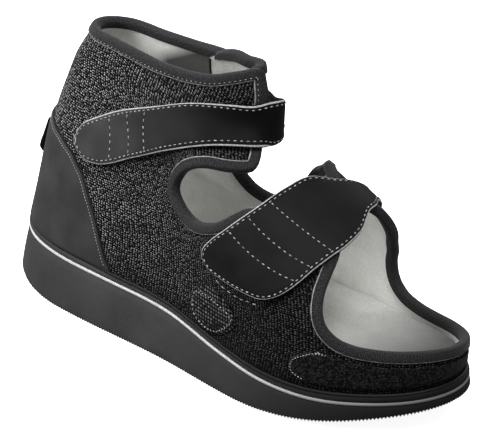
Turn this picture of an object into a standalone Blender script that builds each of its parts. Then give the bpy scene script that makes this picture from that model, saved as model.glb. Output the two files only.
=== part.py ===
# Therapy shoe for the right foot: open toe, ankle shaft, two touch-fastened straps.
# The origin is on the floor under the middle of the sole's flat, the toe points to +X,
# the outer (lateral) side of the foot is -Y and the inner (medial) side +Y.
import math

import bpy
import numpy as np
from mathutils.geometry import delaunay_2d_cdt

# Real sizes in metres
SOLE_LENGTH = 0.300
BALL_WIDTH = 0.107
SHAFT_HEIGHT = 0.150
WALL = 0.0028
GAP = 0.0003
ORIGIN_AT = 0.116

# Sole
HEEL_BEVEL_LENGTH = 0.051
HEEL_BEVEL_RISE = 0.0076
TOE_SPRING_START = 0.181
TOE_SPRING_RISE = 0.0148
SIDE_FLARE = 0.137
STRIPE_HEIGHT = 0.0018
STRIPE_DEPTH = 0.0012
RIM_HEIGHT = 0.0043
UPPER_INSET = 0.0016
INSOLE_THICKNESS = 0.0092
SOLE_COLUMNS = 96
SOLE_TIP_SHIFT = 0.063


def table(names, *rows):
    columns = np.array(rows, float).T
    return dict(zip(names.split(), columns))


# Plan of the sole at the stripe: half widths at stations along the length, both as shares
# (of the length and of the ball width), and the height of the stripe line in metres.
# The half widths are divided by the sine of the turn angle, which rounds both ends.
SOLE = table(
    "along lateral medial stripe",
    (0.00, 0.654, 0.673, 0.0343),
    (0.06, 0.595, 0.591, 0.0324),
    (0.15, 0.512, 0.479, 0.0307),
    (0.30, 0.439, 0.367, 0.0303),
    (0.45, 0.430, 0.359, 0.0290),
    (0.60, 0.504, 0.439, 0.0222),
    (0.72, 0.592, 0.519, 0.0184),
    (0.84, 0.658, 0.568, 0.0176),
    (0.94, 0.659, 0.668, 0.0190),
    (1.00, 0.682, 0.710, 0.0210),
)

# Level slices of the last above the sole's rim: height as a share of the shaft height,
# back and front ends as shares of the length, and the sideways place of the ridge.
SLICE = table(
    "height back front ridge",
    (0.00, 0.005, 0.990, 0.063),
    (0.15, 0.021, 0.988, 0.065),
    (0.30, 0.034, 0.945, 0.080),
    (0.44, 0.049, 0.846, 0.095),
    (0.55, 0.066, 0.748, 0.098),
    (0.64, 0.082, 0.643, 0.080),
    (0.73, 0.098, 0.578, 0.035),
    (0.87, 0.137, 0.557, 0.000),
    (1.00, 0.167, 0.533, 0.000),
)
# How wide each slice is at five stations from its back end to its front end, as shares of
# the sole's half width at the same station.
STATIONS = (0.0, 0.2, 0.45, 0.7, 1.0)
LATERAL_WIDTH = (
    (1.00, 1.00, 1.00, 1.00, 1.00),
    (0.97, 0.98, 1.00, 1.00, 0.98),
    (0.90, 0.92, 0.95, 0.98, 0.95),
    (0.84, 0.82, 0.86, 0.90, 0.80),
    (0.76, 0.72, 0.76, 0.80, 0.70),
    (0.68, 0.64, 0.68, 0.66, 0.58),
    (0.60, 0.57, 0.61, 0.50, 0.45),
    (0.50, 0.50, 0.50, 0.38, 0.36),
    (0.46, 0.46, 0.46, 0.34, 0.34),
)
MEDIAL_WIDTH = (
    (1.00, 1.00, 1.00, 1.00, 1.00),
    (0.97, 0.98, 1.00, 1.00, 0.98),
    (0.90, 0.92, 0.95, 0.95, 0.88),
    (0.84, 0.84, 0.88, 0.81, 0.68),
    (0.76, 0.76, 0.80, 0.68, 0.51),
    (0.68, 0.69, 0.74, 0.57, 0.44),
    (0.60, 0.62, 0.68, 0.50, 0.42),
    (0.50, 0.54, 0.56, 0.38, 0.35),
    (0.46, 0.48, 0.50, 0.36, 0.34),
)


def weights(knots, at):
    """Shares of the knots in a smooth curve through them, one row for each place in at."""
    knots = np.asarray(knots, float)
    at = np.atleast_1d(np.asarray(at, float))
    count = len(knots)
    step = np.diff(knots)
    slope = (np.eye(count)[1:] - np.eye(count)[:-1]) / step[:, None]
    tangent = np.empty((count, count))
    tangent[0] = slope[0]
    tangent[-1] = slope[-1]
    before, after = step[:-1, None], step[1:, None]
    tangent[1:-1] = (slope[:-1] * after + slope[1:] * before) / (before + after)
    cell = np.clip(np.searchsorted(knots, at) - 1, 0, count - 2)
    part = np.clip((at - knots[cell]) / step[cell], 0, 1)[:, None]
    width = step[cell][:, None]
    start, end = np.eye(count)[cell], np.eye(count)[cell + 1]
    return (
        (2 * part**3 - 3 * part**2 + 1) * start
        + (part**3 - 2 * part**2 + part) * width * tangent[cell]
        + (3 * part**2 - 2 * part**3) * end
        + (part**3 - part**2) * width * tangent[cell + 1]
    )


def stripe_height(x):
    return weights(SOLE["along"], x / SOLE_LENGTH) @ SOLE["stripe"]


def rim_height(x):
    return stripe_height(x) + RIM_HEIGHT


def floor_height(x):
    bevel = np.clip(1 - x / HEEL_BEVEL_LENGTH, 0, None)
    spring = np.clip((x - TOE_SPRING_START) / (SOLE_LENGTH - TOE_SPRING_START), 0, None)
    return HEEL_BEVEL_RISE * bevel**2 + TOE_SPRING_RISE * spring**2


def half_widths(along):
    share = weights(SOLE["along"], along)
    return share @ SOLE["lateral"] * BALL_WIDTH, share @ SOLE["medial"] * BALL_WIDTH


def sole_plan(turn, out):
    """Points of the sole's plan, turn going from the heel over the lateral side to the toe (pi)."""

    def curve(angle):
        along = (1 - np.cos(angle)) / 2
        lateral, medial = half_widths(along)
        ease = np.clip((along - 0.6) / 0.4, 0, 1) ** 2
        side = np.where(np.sin(angle) > 0, lateral, medial)
        shift = ease * SOLE_TIP_SHIFT * BALL_WIDTH
        return np.stack([along * SOLE_LENGTH, shift - np.sin(angle) * side], axis=1)

    ahead, behind = curve(turn + 1e-4), curve(turn - 1e-4)
    tangent = (ahead - behind) / np.linalg.norm(ahead - behind, axis=1)[:, None]
    outward = np.stack([tangent[:, 1], -tangent[:, 0]], axis=1)
    return curve(turn) + outward * np.asarray(out).reshape(-1, 1)


def last_point(turn, height):
    """Point of the upper's outer face: turn as in the sole's plan, height above the rim."""
    level = weights(SLICE["height"], height / SHAFT_HEIGHT)
    along = (1 - np.cos(turn)) / 2
    station = weights(STATIONS, along)
    sine = np.sin(turn)
    lateral, medial = half_widths(along)
    lateral = (lateral - UPPER_INSET) * np.einsum("ni,ij,nj->n", level, LATERAL_WIDTH, station)
    medial = (medial - UPPER_INSET) * np.einsum("ni,ij,nj->n", level, MEDIAL_WIDTH, station)
    back, front = level @ SLICE["back"] * SOLE_LENGTH, level @ SLICE["front"] * SOLE_LENGTH
    ease = np.clip((along - 0.6) / 0.4, 0, 1) ** 2
    x = back + (front - back) * along
    y = ease * (level @ SLICE["ridge"]) * BALL_WIDTH - sine * np.where(sine > 0, lateral, medial)
    return np.stack([x, y, rim_height(x) + height], axis=1)


def on_last(turn, height, out=0.0):
    """Points a distance out from the last. At the rim the offset is level, as the foot of each
    piece sits flat on the sole."""
    turn, height = np.broadcast_arrays(
        np.asarray(turn, float).ravel(), np.asarray(height, float).ravel()
    )
    step = 1e-4
    around = last_point(turn + step, height) - last_point(turn - step, height)
    low, high = np.clip(height - step, 0, None), height + step
    upward = last_point(turn, high) - last_point(turn, low)
    normal = np.cross(around, upward)
    normal /= np.linalg.norm(normal, axis=1)[:, None]
    level = np.clip(height / 0.012, 0, 1)
    normal[:, 2] *= level * level * (3 - 2 * level)
    return last_point(turn, height) + normal * np.asarray(out, float).reshape(-1, 1)


# The free edge of the upper, from the back of the collar over the lateral side: places as a
# turn in degrees round the last and a height in metres above the rim. The corners are
# rounded afterwards by EDGE_ROUNDING.
LATERAL_COLLAR = (
    (0, 0.1288), (25, 0.1302), (50, 0.1306), (70, 0.1295), (90, 0.1285), (108, 0.1290),
    (122, 0.1315), (138, 0.1370), (156, 0.1415), (173, 0.1430),
)
LATERAL_FRONT = ((169, 0.1350), (167, 0.1270), (160, 0.1140), (150, 0.1025), (141, 0.0955))
LATERAL_NOTCH = (
    (129, 0.0940), (118, 0.0925), (109, 0.0890), (100, 0.0835), (94, 0.0770), (90.3, 0.0710),
    (89, 0.0665), (89.4, 0.0630), (91, 0.0592), (93.6, 0.0575), (97, 0.0585), (101.5, 0.0620),
    (109, 0.0680), (117, 0.0750),
)
LATERAL_WING = ((126, 0.0810), (136, 0.0830), (146, 0.0800), (153, 0.0715))
TOE_OPENING = (
    (149, 0.0675), (143, 0.0612), (137.8, 0.0540), (134.6, 0.0465), (133.6, 0.0400),
    (134.4, 0.0350), (137, 0.0300), (142, 0.0268), (150, 0.0248), (160, 0.0234), (172, 0.0216),
    (185, 0.0193), (200, 0.0168), (212, 0.0153), (222, 0.0150), (230, 0.0158), (235.5, 0.0178),
    (238.5, 0.0222), (239.4, 0.0290), (238.4, 0.0372), (232, 0.0506),
)
MEDIAL_WING = (
    (214, 0.0700), (200, 0.0790), (190, 0.0825), (184, 0.0855), (186, 0.0915), (200, 0.0935),
    (217, 0.0900), (231, 0.0845), (246, 0.0755), (254, 0.0665),
)
MEDIAL_NOTCH = (
    (261, 0.0530), (267.5, 0.0440), (273, 0.0420), (277, 0.0440), (279.5, 0.0500), (281, 0.0600),
    (278, 0.0730), (267, 0.0850), (256, 0.0950),
)
MEDIAL_FRONT = ((245, 0.1050), (237, 0.1160), (231, 0.1270), (230, 0.1350))
MEDIAL_COLLAR = (
    (238, 0.1318), (250, 0.1278), (276, 0.1253), (303, 0.1250), (337, 0.1266), (360, 0.1288),
)
EDGE_ROUNDING = 0.006
EDGE_STEP = 0.0069

# Edge binding: width over the wall on each side and thickness, and the stretches of the
# free edge that each tape covers, between two places near it
BINDING_WIDTH = 0.0044
BINDING_THICKNESS = 0.0011
BINDINGS = (
    ("collar_binding", (243, 0.1075), (158, 0.1120)),
    ("instep_binding_lateral", (158, 0.1120), (146, 0.0800)),
    ("toe_binding", (146, 0.0800), (186, 0.0900)),
    ("instep_binding_medial", (186, 0.0900), (243, 0.1075)),
)

# Outlines of the pieces sewn on the upper, as turn in degrees and height in metres
HEEL_COUNTER = (
    (-66, 0.0008), (-63.5, 0.0066), (-60.5, 0.0176), (-58, 0.0277), (-54, 0.0400), (-47, 0.0535),
    (-36, 0.0640), (-20, 0.0687), (0, 0.0700), (20, 0.0687), (36, 0.0645), (45, 0.0590),
    (51, 0.0500), (55.5, 0.0363), (58, 0.0277), (60.5, 0.0176), (63.5, 0.0066), (66, 0.0008),
)
TOE_BAND = (
    (136.5, 0.0042), (128, 0.0044), (124, 0.0070), (122.6, 0.0120), (123.8, 0.0180),
    (128, 0.0225), (131.5, 0.0255), (137, 0.0215), (142, 0.0190), (150, 0.0172), (160, 0.0160),
    (172, 0.0142), (185, 0.0123), (200, 0.0104), (212, 0.0095), (222, 0.0095), (224, 0.0070),
    (223, 0.0042), (212, 0.0040), (195, 0.0040), (180, 0.0040), (165, 0.0040), (150, 0.0040),
)
INSTEP_PATCH = (
    (92.8, 0.0215), (91.5, 0.0150), (92.3, 0.0080), (95.8, 0.0042), (98.5, 0.0034),
    (101.4, 0.0052), (104, 0.0110), (106, 0.0170), (106.5, 0.0205), (105.8, 0.0235),
    (104, 0.0275), (100, 0.0305), (95, 0.0280),
)
ANKLE_PATCH = (
    (45.5, 0.0735), (52, 0.0790), (60, 0.0840), (60, 0.0630), (53, 0.0580), (48.5, 0.0610),
)
PATCH_THICKNESS = 0.0009
COUNTER_THICKNESS = 0.0010

# Straps: from the stitched lateral end over the front to the medial end. Rows that lie on the
# last hold the turn of the lower and the upper edge in degrees, their heights and how far
# they stand off; rows in the air hold a point on the lower and one on the upper edge.
STRAP_THICKNESS = 0.0024
ANKLE_STRAP = (
    (48.0, 0.0602, 0.0024, 46.5, 0.0765, 0.0024),
    (60.0, 0.0618, 0.0024, 58.0, 0.0862, 0.0024),
    (75.0, 0.0738, 0.0024, 73.0, 0.0962, 0.0024),
    (97.0, 0.0888, 0.0024, 95.0, 0.1065, 0.0024),
    (123.0, 0.0990, 0.0026, 118.0, 0.1160, 0.0026),
    (140.0, 0.1018, 0.0030, 140.0, 0.1228, 0.0030),
    (150.0, 0.1025, 0.0030, 155.0, 0.1250, 0.0034),
    ((0.1722, -0.0050, 0.1303), (0.1690, -0.0040, 0.1555)),
    ((0.1712, 0.0020, 0.1300), (0.1705, 0.0030, 0.1550)),
    ((0.1660, 0.0100, 0.1280), (0.1655, 0.0095, 0.1520)),
    ((0.1560, 0.0200, 0.1240), (0.1560, 0.0155, 0.1475)),
    (250.0, 0.0885, 0.0026, 235.0, 0.1110, 0.0026),
    (264.0, 0.0850, 0.0024, 252.0, 0.1075, 0.0024),
    (276.7, 0.0810, 0.0024, 265.9, 0.1040, 0.0024),
    (287.3, 0.0765, 0.0024, 279.6, 0.0998, 0.0024),
    (294.9, 0.0729, 0.0024, 289.7, 0.0965, 0.0024),
)
FOREFOOT_STRAP = (
    (122.0, 0.0440, 0.0026, 95.3, 0.0420, 0.0026),
    (127.5, 0.0512, 0.0026, 98.0, 0.0490, 0.0026),
    (133.2, 0.0568, 0.0026, 105.0, 0.0597, 0.0026),
    (139.0, 0.0617, 0.0026, 116.5, 0.0718, 0.0026),
    (146.6, 0.0665, 0.0028, 131.0, 0.0823, 0.0028),
    (156.0, 0.0710, 0.0022, 148.0, 0.0895, 0.0022),
    (167.0, 0.0755, 0.0020, 165.0, 0.0925, 0.0020),
    (180.0, 0.0800, 0.0019, 178.0, 0.0905, 0.0019),
    (192.0, 0.0798, 0.0019, 189.0, 0.0888, 0.0019),
    (204.0, 0.0785, 0.0019, 200.0, 0.0862, 0.0019),
    (215.0, 0.0735, 0.0020, 212.0, 0.0815, 0.0020),
    (225.0, 0.0670, 0.0020, 223.0, 0.0765, 0.0020),
    (234.0, 0.0590, 0.0020, 233.0, 0.0695, 0.0020),
    (240.5, 0.0510, 0.0020, 242.0, 0.0615, 0.0020),
)

# Tongue behind the front of the shaft, from its lateral to its medial side, rows as above
TONGUE = (
    (124.0, 0.1070, -0.0096, 126.0, 0.1290, -0.0096),
    (137.0, 0.1060, -0.0096, 138.0, 0.1345, -0.0096),
    (150.0, 0.1055, -0.0096, 150.0, 0.1365, -0.0096),
    ((0.1600, -0.0040, 0.1330), (0.1535, -0.0015, 0.1690)),
    ((0.1625, 0.0020, 0.1330), (0.1542, 0.0025, 0.1697)),
    ((0.1600, 0.0080, 0.1330), (0.1515, 0.0054, 0.1700)),
    (227.0, 0.1030, -0.0096, 229.0, 0.1378, -0.0096),
    (238.0, 0.1010, -0.0096, 240.0, 0.1365, -0.0096),
    (250.0, 0.0990, -0.0096, 250.0, 0.1335, -0.0096),
    (262.0, 0.0960, -0.0096, 262.0, 0.1265, -0.0096),
)
TONGUE_THICKNESS = 0.0032
HEEL_TAB = table(
    "height standoff",
    (0.0590, 0.0000),
    (0.0545, 0.0005),
    (0.0480, 0.0012),
    (0.0420, 0.0020),
    (0.0388, 0.0017),
    (0.0370, 0.0000),
)
TAB_WIDTH = 0.022
TAB_THICKNESS = 0.0018


# The scene is emptied, then every body is made
for leftover in list(bpy.data.objects):
    bpy.data.objects.remove(leftover, do_unlink=True)


def make_material(name, colour, roughness):
    material = bpy.data.materials.new(name)
    material.use_nodes = True
    shader = material.node_tree.nodes["Principled BSDF"]
    shader.inputs["Base Color"].default_value = (*colour, 1.0)
    shader.inputs["Roughness"].default_value = roughness
    shader.inputs["Metallic"].default_value = 0.0
    material.diffuse_color = (*colour, 1.0)
    return material


def make_object(name, points, faces, material):
    points = np.array(points, float)
    faces = [list(map(int, face)) for face in faces]
    volume = 0.0
    for face in faces:
        for a, b in zip(face[1:-1], face[2:]):
            volume += np.dot(points[face[0]], np.cross(points[a], points[b]))
    if volume < 0:
        faces = [face[::-1] for face in faces]
    mesh = bpy.data.meshes.new(name)
    mesh.from_pydata((points - (ORIGIN_AT, 0.0, 0.0)).tolist(), [], faces)
    mesh.materials.append(material)
    mesh.shade_smooth()
    mesh.set_sharp_from_angle(angle=math.radians(40))
    made = bpy.data.objects.new(name, mesh)
    bpy.context.scene.collection.objects.link(made)
    return made


def rings_body(name, rings, material, capped=None, closed=False):
    """A body through rings of points. Its ends are capped by one face each, or by bands across."""
    count = len(rings[0])
    points = np.concatenate(rings)
    faces = []
    pairs = list(zip(range(len(rings) - 1), range(1, len(rings))))
    if closed:
        pairs.append((len(rings) - 1, 0))
    for low, high in pairs:
        for i in range(count):
            j = (i + 1) % count
            corners = (low * count + i, low * count + j, high * count + j, high * count + i)
            faces.append(corners)
    for start, flip in ((0, True), ((len(rings) - 1) * count, False)):
        if capped == "faces":
            caps = [[start + i for i in range(count)]]
        elif capped == "bands":
            across = [(i, i + 1, count - i - 1, (count - i) % count) for i in range(count // 2)]
            caps = [list(dict.fromkeys(start + corner for corner in cap)) for cap in across]
        else:
            caps = []
        faces += [cap[::-1] if flip else cap for cap in caps]
    return make_object(name, points, faces, material)


def skin_body(name, faces, low, high, material):
    """A sheet of triangles made solid between two faces of itself, low and high points alike."""
    used = np.unique(faces)
    place = {int(point): i for i, point in enumerate(used)}
    count = len(used)
    top = [tuple(place[int(p)] + count for p in face) for face in faces]
    bottom = [tuple(place[int(p)] for p in face[::-1]) for face in faces]
    edges = {}
    for face in top:
        for a, b in zip(face, face[1:] + face[:1]):
            edges[(a, b)] = True
    sides = [(a, a - count, b - count, b) for a, b in edges if (b, a) not in edges]
    points = np.concatenate([low[used], high[used]])
    return make_object(name, points, top + bottom + sides, material)


def smooth_line(rows, rounding, step, around=False):
    """Rows of turn and height as a line of even steps on the last, with its corners rounded."""
    rows = np.array(rows, float)
    rows[:, 0] = np.radians(rows[:, 0])
    turn_back = np.array([math.tau, 0.0])
    if around:
        rows = np.concatenate([rows[:-1] - turn_back, rows, rows[1:] + turn_back])
    spots = on_last(rows[:, 0], rows[:, 1])
    length = np.r_[0, np.cumsum(np.linalg.norm(np.diff(spots, axis=0), axis=1))]
    fine = np.arange(0, length[-1], 0.0005)
    line = np.stack([np.interp(fine, length, rows[:, i]) for i in (0, 1)], axis=1)
    window = max(1, round(rounding / 0.0005)) | 1
    for _ in range(2):
        pad = window // 2
        before, after = np.repeat(line[:1], pad, axis=0), np.repeat(line[-1:], pad, axis=0)
        wide = np.concatenate([before, line, after])
        total = np.cumsum(np.concatenate([np.zeros((1, 2)), wide]), axis=0)
        line = (total[window:] - total[:-window]) / window
    if around:
        middle = (line[:, 0] >= 0) & (line[:, 0] <= math.tau)
        first, last = np.argmax(middle), len(middle) - 1 - np.argmax(middle[::-1])
        start_height = np.interp(0, *line[first - 1 : first + 1].T)
        line = np.concatenate([[(0, start_height)], line[first:last], [(math.tau, start_height)]])
    spots = on_last(line[:, 0], line[:, 1])
    length = np.r_[0, np.cumsum(np.linalg.norm(np.diff(spots, axis=0), axis=1))]
    places = np.linspace(0, length[-1], round(length[-1] / step) + 1)
    return np.stack([np.interp(places, length, line[:, i]) for i in (0, 1)], axis=1)


def inward(line, distance):
    """The line moved a distance over the last to its right-hand side, which is into the upper."""
    step = 1e-4
    turn, height = line[:, 0], line[:, 1]
    along = np.gradient(on_last(turn, height), axis=0)
    around = (on_last(turn + step, height) - on_last(turn - step, height)) / (2 * step)
    upward = (on_last(turn, height + step) - on_last(turn, height - step)) / (2 * step)
    normal = np.cross(around, upward)
    aim = np.cross(along, normal)
    aim /= np.linalg.norm(aim, axis=1)[:, None]
    moved = []
    for i in range(len(line)):
        grid = np.stack([around[i], upward[i]], axis=1)
        moved.append(np.linalg.lstsq(grid, aim[i] * distance, rcond=None)[0])
    return line + np.array(moved)


def inside(outline, spots):
    """Which spots lie in a closed outline."""
    found = np.zeros(len(spots), bool)
    for (x0, y0), (x1, y1) in zip(outline, np.roll(outline, -1, axis=0)):
        crosses = (y0 > spots[:, 1]) != (y1 > spots[:, 1])
        place = (x1 - x0) * (spots[:, 1] - y0) / (y1 - y0 if y1 != y0 else 1) + x0
        found ^= crosses & (spots[:, 0] < place)
    return found


def sheet(outline, spacing, extra=()):
    """Triangles over the area inside a closed outline of turn and height, with more lines kept in it."""
    scale = np.array([0.075, 1.0])
    edges = [(i, (i + 1) % len(outline)) for i in range(len(outline))]
    fixed = np.concatenate([outline, *extra])
    fixed_points = on_last(fixed[:, 0], fixed[:, 1])
    grid = []
    lows, highs = outline.min(axis=0), outline.max(axis=0)
    rows = int(np.ceil((highs[1] - lows[1]) / spacing))
    for height in np.linspace(lows[1], highs[1], rows + 1)[1:-1]:
        ring = on_last(np.linspace(lows[0], highs[0], 91), np.full(91, height))
        reach = np.r_[0, np.cumsum(np.linalg.norm(np.diff(ring, axis=0), axis=1))]
        places = np.linspace(0, reach[-1], max(2, int(reach[-1] / spacing)) + 1)
        turns = np.interp(places, reach, np.linspace(lows[0], highs[0], 91))
        grid += [(turn, height) for turn in turns]
    grid = np.array(grid)
    grid = grid[inside(outline, grid)]
    points = on_last(grid[:, 0], grid[:, 1])
    nearest = np.array([np.min(np.linalg.norm(fixed_points - point, axis=1)) for point in points])
    spots = np.concatenate([fixed, grid[nearest > spacing * 0.55]])
    flat = [tuple(spot) for spot in spots * scale]
    result = delaunay_2d_cdt(flat, edges, [], 0, 1e-7)
    made = np.array([tuple(point) for point in result[0]]) / scale
    faces = np.array([face for face in result[2] if len(face) == 3])
    centres = made[faces].mean(axis=1)
    faces = faces[inside(outline, centres)]
    corner = made[faces] * scale
    turned = np.cross(corner[:, 1] - corner[:, 0], corner[:, 2] - corner[:, 0]) < 0
    faces[turned] = faces[turned][:, ::-1]
    return made, faces


def edge_band(name, place, width, low, high, material):
    """Binding tape folded over the edge of a sheet; place gives points at a depth in from the
    edge and a distance out, and the sheet lies between the distances low and high."""
    grip = GAP + 0.0001
    nose = grip + BINDING_THICKNESS
    section = (
        (width, high + nose), (-0.0002, high + nose), (-nose, high - 0.0006), (-nose, low + 0.0006),
        (-0.0002, low - nose), (width, low - nose), (width, low - grip), (-grip, low - grip),
        (-grip, high + grip), (width, high + grip),
    )
    rings = np.stack([place(depth, out) for depth, out in section], axis=1)
    return rings_body(name, list(rings), material, capped="faces")


def strap_grid(rows, across, step, end_radius=0.0):
    """Points of a strap's inner face, in rows of even steps, and the face's normals."""
    mix = np.linspace(0, 1, across)
    lines = []
    for row in rows:
        if len(row) == 2:
            low, high = np.array(row[0]), np.array(row[1])
            lines.append(low + (high - low) * mix[:, None])
        else:
            low, high = np.array(row[:3]), np.array(row[3:])
            turn, height, out = (low + (high - low) * mix[:, None]).T
            lines.append(on_last(np.radians(turn), height, out) + (0, 0, GAP))
    lines = np.array(lines)
    middle = lines.mean(axis=1)
    knots = np.r_[0, np.cumsum(np.linalg.norm(np.diff(middle, axis=0), axis=1))]
    bend = np.zeros(1)
    if end_radius:
        bend = end_radius * (1 - np.cos(np.linspace(0.12, 0.5, 5) * math.pi))
    count = round((knots[-1] - bend[-1]) / step)
    places = np.r_[bend, np.linspace(bend[-1], knots[-1], count + 1)[1:]]
    grid = np.einsum("pk,kac->pac", weights(knots, places), lines)
    along = np.gradient(grid, places, axis=0)
    for i, place in enumerate(places):
        short = max(0.0, 1 - place / end_radius) if end_radius else 0.0
        wide = np.linalg.norm(grid[i, -1] - grid[i, 0])
        trim = min(0.45, end_radius * (1 - math.sqrt(1 - short * short)) / wide)
        share = weights(mix, np.linspace(trim, 1 - trim, across))
        grid[i], along[i] = share @ grid[i], share @ along[i]
    normal = np.cross(along, np.gradient(grid, axis=1))
    normal /= np.linalg.norm(normal, axis=2)[:, :, None]
    return grid, normal


def strap(name, rows, thickness, material, end_radius=0.0, step=0.0078, across=6):
    """A flat strap through rows of its two edges, with its first end rounded."""
    grid, normal = strap_grid(rows, across, step, end_radius)
    outer = grid + normal * thickness
    rings = np.concatenate([grid, outer[:, ::-1]], axis=1)
    rings_body(name, list(rings), material, capped="faces")


outsole_rubber = make_material("dark_grey_rubber", (0.055, 0.055, 0.057), 0.75)
stripe_rubber = make_material("light_grey_rubber", (0.62, 0.62, 0.60), 0.6)
lining_fleece = make_material("light_grey_fleece", (0.55, 0.55, 0.52), 0.95)
mesh_cloth = make_material("black_mesh", (0.018, 0.018, 0.019), 0.85)
smooth_synthetic = make_material("black_synthetic_leather", (0.030, 0.030, 0.031), 0.5)
binding_tape = make_material("black_binding_tape", (0.045, 0.045, 0.047), 0.7)
loop_tape = make_material("black_loop_tape", (0.014, 0.014, 0.015), 0.95)

# Sole: one body from the floor up to the rim, with the stripe's groove all round
loop_turn = np.linspace(0, math.tau, SOLE_COLUMNS, endpoint=False)
stripe_line = sole_plan(loop_turn, 0)
stripe_z = stripe_height(stripe_line[:, 0])


def sole_loop(out, height):
    """The plan moved out, at a height above or below the stripe line."""
    line = sole_plan(loop_turn, out)
    return np.column_stack([line, stripe_z + height])


flare = SIDE_FLARE * (stripe_z - floor_height(stripe_line[:, 0]))
ground = sole_plan(loop_turn, flare)
ground_z = floor_height(ground[:, 0])
foot_edge = 0.0012
groove = STRIPE_HEIGHT / 2 + GAP
sole_rings = [
    np.column_stack([sole_plan(loop_turn, flare - foot_edge), ground_z]),
    np.column_stack([ground, ground_z + foot_edge]),
    sole_loop(0.0, -groove),
    sole_loop(-STRIPE_DEPTH - GAP, -groove),
    sole_loop(-STRIPE_DEPTH - GAP, groove),
    sole_loop(0.0, groove),
    sole_loop(0.0, RIM_HEIGHT - 0.0010),
    sole_loop(-0.0008, RIM_HEIGHT),
]
for ring in sole_rings[-1:]:
    ring[:, 2] = rim_height(ring[:, 0])
rings_body("sole", sole_rings, outsole_rubber, capped="bands")

# Stripe: a thin strip let into the groove
half = STRIPE_HEIGHT / 2
stripe_section = ((-STRIPE_DEPTH, -half), (0.0003, -half), (0.0003, half), (-STRIPE_DEPTH, half))
stripe_rings = [sole_loop(out, height) for out, height in stripe_section]
rings_body("sole_stripe", stripe_rings, stripe_rubber, closed=True)

# Insole inside the foot of the upper
insole_turn = np.linspace(0, math.tau, 72, endpoint=False)
insole_rings = []
for height, out in ((GAP, 0.0), (INSOLE_THICKNESS - 0.0015, 0.0), (INSOLE_THICKNESS, -0.0014)):
    loop = on_last(insole_turn, np.full(72, height), np.full(72, out - WALL - 2 * GAP))
    loop[:, 2] = rim_height(loop[:, 0]) + height
    insole_rings.append(loop)
rings_body("insole", insole_rings, lining_fleece, capped="bands")

# Upper: one wall round the whole foot, open underneath and from the collar to the toe
free_rows = (
    LATERAL_COLLAR + LATERAL_FRONT + LATERAL_NOTCH + LATERAL_WING + TOE_OPENING
    + MEDIAL_WING + MEDIAL_NOTCH + MEDIAL_FRONT + MEDIAL_COLLAR
)
free_edge = smooth_line(free_rows, EDGE_ROUNDING, EDGE_STEP, around=True)
back_height = free_edge[0, 1]
seam = np.linspace(back_height, 0.0, 16)[1:-1]
base = np.linspace(math.tau, 0.0, 85)
wall_outline = np.concatenate([
    free_edge,
    np.column_stack([np.full(14, math.tau), seam]),
    np.column_stack([base, np.zeros(85)]),
    np.column_stack([np.zeros(14), seam[::-1]]),
])
inner_row = inward(free_edge, BINDING_WIDTH + 0.0002)
inner_row = inner_row[(inner_row[:, 0] > 0.03) & (inner_row[:, 0] < math.tau - 0.03)]
wall_spots, wall_faces = sheet(wall_outline, 0.0105, extra=[inner_row])
wall_spots[:, 0] = np.where(wall_spots[:, 0] > math.tau - 1e-5, 0.0, wall_spots[:, 0])
keys = np.round(wall_spots, 6)
_, first, weld = np.unique(keys, axis=0, return_index=True, return_inverse=True)
wall_faces = weld.reshape(-1)[wall_faces]
wall_spots = wall_spots[first]
wall_low = on_last(wall_spots[:, 0], wall_spots[:, 1], -WALL)
wall_high = on_last(wall_spots[:, 0], wall_spots[:, 1])
for layer in (wall_low, wall_high):
    layer[:, 2] += GAP
skin_body("upper", wall_faces, wall_low, wall_high, mesh_cloth)


def panel(name, outline, low, thickness, material, spacing=0.0075, rounding=0.0015):
    """A piece of sheet lying on the last between two distances from it."""
    rows = np.array(outline + (outline[0],), float)
    line = smooth_line(rows, rounding, spacing)[:-1]
    spots, faces = sheet(line, spacing)
    turn, height = spots.T
    under = on_last(turn, height, low) + (0, 0, GAP)
    over = on_last(turn, height, low + thickness) + (0, 0, GAP)
    skin_body(name, faces, under, over, material)


overlay = GAP + 0.0001
panel("heel_counter", HEEL_COUNTER, overlay, COUNTER_THICKNESS, smooth_synthetic, 0.0088)
panel("toe_loop_band", TOE_BAND, overlay, PATCH_THICKNESS, loop_tape, 0.0060, 0.004)
panel("instep_landing_patch", INSTEP_PATCH, overlay, PATCH_THICKNESS, loop_tape, 0.0045, 0.003)
panel("ankle_landing_patch", ANKLE_PATCH, overlay, PATCH_THICKNESS, loop_tape, 0.0045)

strap("ankle_strap", ANKLE_STRAP, STRAP_THICKNESS, smooth_synthetic, 0.0115, across=5)
strap("forefoot_strap", FOREFOOT_STRAP, STRAP_THICKNESS, smooth_synthetic, 0.0140, across=8)
strap("tongue", TONGUE, TONGUE_THICKNESS, mesh_cloth, step=0.0065, across=6)

# Bindings: one over each stretch of the upper's free edge, and one over the tongue's top
ring = free_edge[:-1]
ring_spots = on_last(ring[:, 0], ring[:, 1])
for name, start_spot, end_spot in BINDINGS:
    start, end = (
        int(np.argmin(np.linalg.norm(ring_spots - on_last(math.radians(turn), height), axis=1)))
        for turn, height in (start_spot, end_spot)
    )
    if end > start:
        stretch = ring[start : end + 1].copy()
    else:
        stretch = np.concatenate([ring[start:] - (math.tau, 0), ring[: end + 1]])
    stretch[0] += (stretch[1] - stretch[0]) * 0.18
    stretch[-1] += (stretch[-2] - stretch[-1]) * 0.18

    def on_wall(depth, out, stretch=stretch):
        return on_last(*inward(stretch, depth).T, out) + (0, 0, GAP)

    edge_band(name, on_wall, BINDING_WIDTH, -WALL, 0.0, binding_tape)

tongue_grid, tongue_normal = strap_grid(TONGUE, 6, 0.0065)
tongue_grid, tongue_normal = tongue_grid[1:-1], tongue_normal[1:-1]
tongue_down = tongue_grid[:, -2] - tongue_grid[:, -1]
tongue_down /= np.linalg.norm(tongue_down, axis=1)[:, None]


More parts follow.
